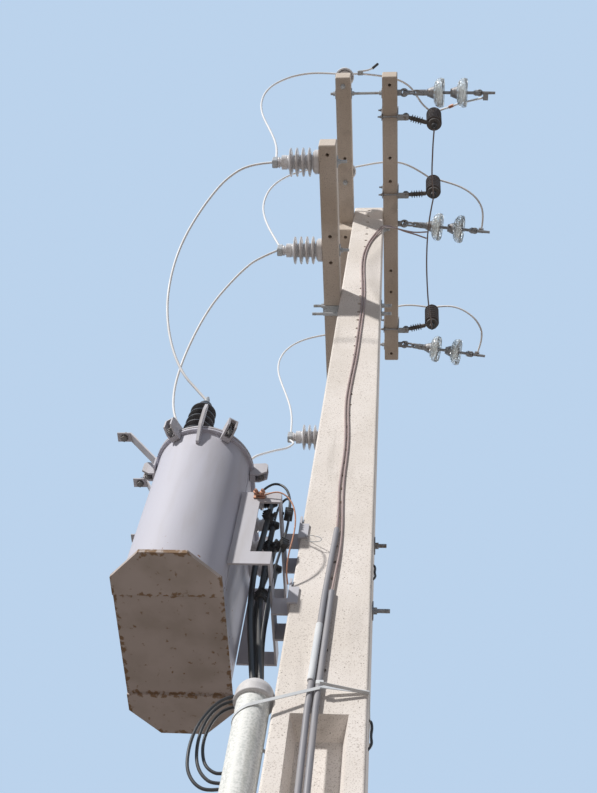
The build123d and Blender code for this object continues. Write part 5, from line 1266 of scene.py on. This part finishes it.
@dataclass
class TieWires:
    """Turns of soft wire that bind the jumpers to the insulators."""

    ties: tuple[tuple[Point, Point], ...] = (
        ((-0.4325, -0.827, 8.048), (0.03, 0.0, 0.99)), ((-0.4325, -0.332, 8.048), (0.10, 0.0, 0.99)),
        ((-0.150, -0.900, 9.411), (1.0, 0.0, 0.0)), ((-0.150, -0.300, 9.411), (1.0, 0.0, 0.0)),
        ((-0.150, 0.900, 9.411), (1.0, 0.0, 0.0)),
    )
    turns: int = 6
    coil_radius: float = 0.0075
    wire_radius: float = 0.0016

    def build(self) -> None:
        """Wind one tie and bind it at every place."""
        pitch = 2.2 * self.wire_radius
        route = []
        for step in range(self.turns * 8 + 1):
            turn = step * math.pi / 4
            route.append((
                self.coil_radius * math.cos(turn), self.coil_radius * math.sin(turn), step / 8 * pitch,
            ))
        coil = Bench.rod(route, self.wire_radius)
        places = [facing(at, along) for at, along in self.ties]
        Bench.finished("tie_wires", Bench.set_out(coil, places), Finish.WIRE, "light_wire", 60.0)


@dataclass
class ConduitTape:
    """White tape wound down the longer conduit, and the strap's folded end."""

    top: Point = (-0.0285, -0.1238, 5.170)
    foot: Point = (-0.0375, -0.1295, 4.880)
    radius: float = 0.0122
    laps: int = 12
    knot: Point = (-0.004, -0.1570, 4.8455)
    strap_ends: tuple[Point, Point] = ((-0.004, -0.1590, 4.8400), (0.1570, -0.1225, 4.8365))

    def build(self) -> None:
        """Wind the laps and fold the strap's end over itself."""
        top, foot = Vector(self.top), Vector(self.foot)
        lap = (foot - top).length / self.laps
        steps = [(0.0, self.radius - 0.0008)]
        for number in range(self.laps):
            start, end = number * lap + 0.001, (number + 1) * lap - 0.001
            steps += [(start, self.radius + 0.0006), (end, self.radius - 0.0002)]
        tape = Bench.turned(steps, 24)
        tape.data.transform(facing(top, foot - top))
        x, y, z = self.knot
        fold = Bench.slab((0.026, 0.004, 0.018), (x, y, z), 0.0015)
        start, end = (Vector(point) for point in self.strap_ends)
        length = (end - start).length
        band = Bench.slab((0.0016, 0.013, length), (0, 0, length / 2), 0.0005)
        band.data.transform(facing(start, end - start, 90))
        Bench.finished("white_tape", (tape, fold, band), Finish.TAPE, "light_wire")


@dataclass
class PoleTrims:
    """A loop of wire at the upper support and dark ends of binding at the pole's right edge."""

    loop: tuple[Point, ...] = (
        (-0.121, -0.112, 5.700), (-0.112, -0.128, 5.690), (-0.085, -0.142, 5.668), (-0.058, -0.148, 5.650),
        (-0.050, -0.144, 5.638), (-0.066, -0.138, 5.634), (-0.094, -0.130, 5.645), (-0.116, -0.118, 5.668),
    )
    bindings: tuple[tuple[Point, ...], ...] = (
        (
            (0.128, 0.02, 5.70), (0.142, 0.018, 5.70), (0.150, 0.014, 5.675), (0.147, 0.012, 5.645),
            (0.153, 0.010, 5.615), (0.140, 0.008, 5.59), (0.129, 0.006, 5.585),
        ),
        (
            (0.144, 0.02, 4.86), (0.160, 0.018, 4.86), (0.166, 0.014, 4.82), (0.162, 0.012, 4.78),
            (0.168, 0.010, 4.745), (0.156, 0.008, 4.715), (0.147, 0.006, 4.71),
        ),
    )

    def build(self) -> None:
        """Bend the loop and the two bindings."""
        Bench.finished("wire_loop", (Bench.rod(self.loop, 0.0016),), Finish.ZINC, "galvanised_steel", 60.0)
        rods = [Bench.rod(route, 0.0045) for route in self.bindings]
        Bench.finished("edge_bindings", rods, Finish.BLACK, "black_plastic", 60.0)


@dataclass
class TankTrims:
    """The weld bead down the tank and the pressed lip of the riser's cap."""

    bead_radius: float = 0.0028
    ripples: int = 66
    seam_at: Point = (-0.3710, -0.200, 0.0)
    seam_foot: float = 5.20
    seam_top: float = 5.99
    cap_axis: Point = (-0.2195, -0.095, 4.802)
    cap_radius: float = 0.0655

    def build(self) -> None:
        """Lay the seam and roll the cap's lip."""
        steps = [(self.seam_foot, self.bead_radius * 0.5)]
        for ripple in range(self.ripples):
            level = self.seam_foot + (ripple + 0.5) * (self.seam_top - self.seam_foot) / self.ripples
            steps.append((level, self.bead_radius * (1.0 if ripple % 2 else 0.8)))
        steps.append((self.seam_top, self.bead_radius * 0.5))
        bead = Bench.turned(steps, 10)
        bead.data.transform(Matrix.Translation(self.seam_at))
        Bench.finished("tank_seams", (bead,), Finish.TANK, "tank_paint", 60.0)
        edge = self.cap_radius
        rings = (
            (-0.001, edge - 0.002), (0.0, edge + 0.001), (0.003, edge + 0.0035), (0.008, edge + 0.0035),
            (0.012, edge + 0.0005), (0.013, edge - 0.002),
        )
        lip = Bench.turned(rings, 48)
        lip.data.transform(Matrix.Translation(self.cap_axis))
        Bench.finished("cap_lip", (lip,), Finish.CAP, "grey_pvc", 60.0)


FITTINGS: tuple[type, ...] = (
    GlassDiscs, RodEnds, LidBolts, BarBolts, BushingTops, ArresterTops, LowVoltageBoots, CableTaps,
    EarthClamp, LineConnectors, TieWires, ConduitTape, PoleTrims, TankTrims,
)


# Studio


@dataclass(frozen=True)
class Studio:
    """The floor, the lamps, the surroundings and the camera."""

    floor_size: float = 600.0
    floor_colour: Colour = (0.74, 0.74, 0.73)
    floor_bounce: Colour = (0.23, 0.195, 0.17)
    backdrop: Colour = (0.50, 0.65, 0.84)
    fill: float = 0.26
    fill_colour: Colour = (0.80, 0.87, 1.0)
    lamp_colour: Colour = (1.0, 0.965, 0.92)
    sun_from: Point = (-0.56, -0.66, 0.56)
    sun_power: float = 3.5
    back_from: Point = (0.62, 0.66, 0.42)
    back_power: float = 0.9
    camera_place: Point = (0.30531, -2.96459, 1.80511)
    yaw: float = 10.82
    pitch: float = 59.80
    roll: float = 9.63
    focal_pixels: float = 1243.43
    frame_height: float = 793.0

    def build(self) -> None:
        """Set up the whole studio."""
        self.add_floor()
        self.add_lamp("studio_sun", self.sun_from, self.sun_power, 3.0)
        self.add_lamp("studio_back", self.back_from, self.back_power, 25.0)
        self.add_world()
        self.add_camera()
        bpy.context.scene.view_settings.view_transform = "Standard"

    def add_floor(self) -> None:
        """Lay a plain floor under the pole, pale to look at and dull in the light that it throws back."""
        bpy.ops.object.select_all(action="DESELECT")
        bpy.ops.mesh.primitive_plane_add(size=self.floor_size, location=(0, 0, -0.001))
        floor = bpy.context.object
        floor.name = "studio_floor"
        recipe = Recipe("studio_floor")
        bounced = recipe.add("ShaderNodeLightPath").outputs["Is Diffuse Ray"]
        recipe.set(Base_Color=recipe.mix(bounced, self.floor_colour, self.floor_bounce), Roughness=0.9)
        floor.data.materials.append(recipe.material)

    def add_lamp(self, name: str, source: Point, power: float, softness: float) -> None:
        """Hang a distant lamp.

        Args:
            name: Its name.
            source: The direction that its light comes from.
            power: Its strength.
            softness: Its breadth in the sky, in degrees.
        """
        lamp = bpy.data.lights.new(name, "SUN")
        lamp.energy = power
        lamp.angle = math.radians(softness)
        lamp.color = self.lamp_colour
        sun = bpy.data.objects.new(name, lamp)
        sun.rotation_euler = Vector(source).to_track_quat("Z", "Y").to_euler()
        bpy.context.scene.collection.objects.link(sun)

    def add_world(self) -> None:
        """Fill the shade evenly, with a pale backdrop where the camera, gloss and glass look."""
        world = bpy.data.worlds.new("studio_world")
        bpy.context.scene.world = world
        world.use_nodes = True
        nodes = NodeWork(world.node_tree)
        rays = nodes.add("ShaderNodeLightPath").outputs
        seen = nodes.combine("MAXIMUM", rays["Is Camera Ray"], rays["Is Transmission Ray"])
        seen = nodes.combine("MAXIMUM", seen, rays["Is Glossy Ray"])
        light = nodes.add("ShaderNodeBackground", Color=self.fill_colour, Strength=self.fill)
        view = nodes.add("ShaderNodeBackground", Color=self.backdrop)
        mix = nodes.add("ShaderNodeMixShader", Fac=seen)
        nodes.plug(mix.inputs[1], light.outputs[0])
        nodes.plug(mix.inputs[2], view.outputs[0])
        nodes.add("ShaderNodeOutputWorld", Surface=mix.outputs[0])

    def add_camera(self) -> None:
        """Stand the camera where the photograph was taken from."""
        yaw, pitch, roll = (math.radians(angle) for angle in (self.yaw, self.pitch, self.roll))
        ahead = Vector((-math.sin(yaw) * math.cos(pitch), math.cos(yaw) * math.cos(pitch), math.sin(pitch)))
        right = Vector((math.cos(yaw), math.sin(yaw), 0))
        up = right.cross(ahead)
        side = right * math.cos(roll) + up * math.sin(roll)
        top = up * math.cos(roll) - right * math.sin(roll)
        lens = bpy.data.cameras.new("photo_camera")
        lens.sensor_width = 36.0
        lens.lens = self.focal_pixels * lens.sensor_width / self.frame_height
        lens.clip_end = 200.0
        camera = bpy.data.objects.new("photo_camera", lens)
        turn = Matrix((side, top, -ahead)).transposed()
        camera.matrix_world = Matrix.Translation(self.camera_place) @ turn.to_4x4()
        bpy.context.scene.collection.objects.link(camera)
        bpy.context.scene.camera = camera


def main() -> None:
    """Dress the solids, lead the wires, add the fittings and set up the studio."""
    logging.basicConfig(level=logging.INFO, format="%(message)s")
    Studio().build()
    dress_cad_nodes()
    for wire in WIRES + LOOSE_WIRES:
        wire.build()
        LOG.info("%s leads its wire, %.3f m", wire.node, wire.length)
    for fitting in FITTINGS:
        fitting().build()


if __name__ == "__main__":
    main()
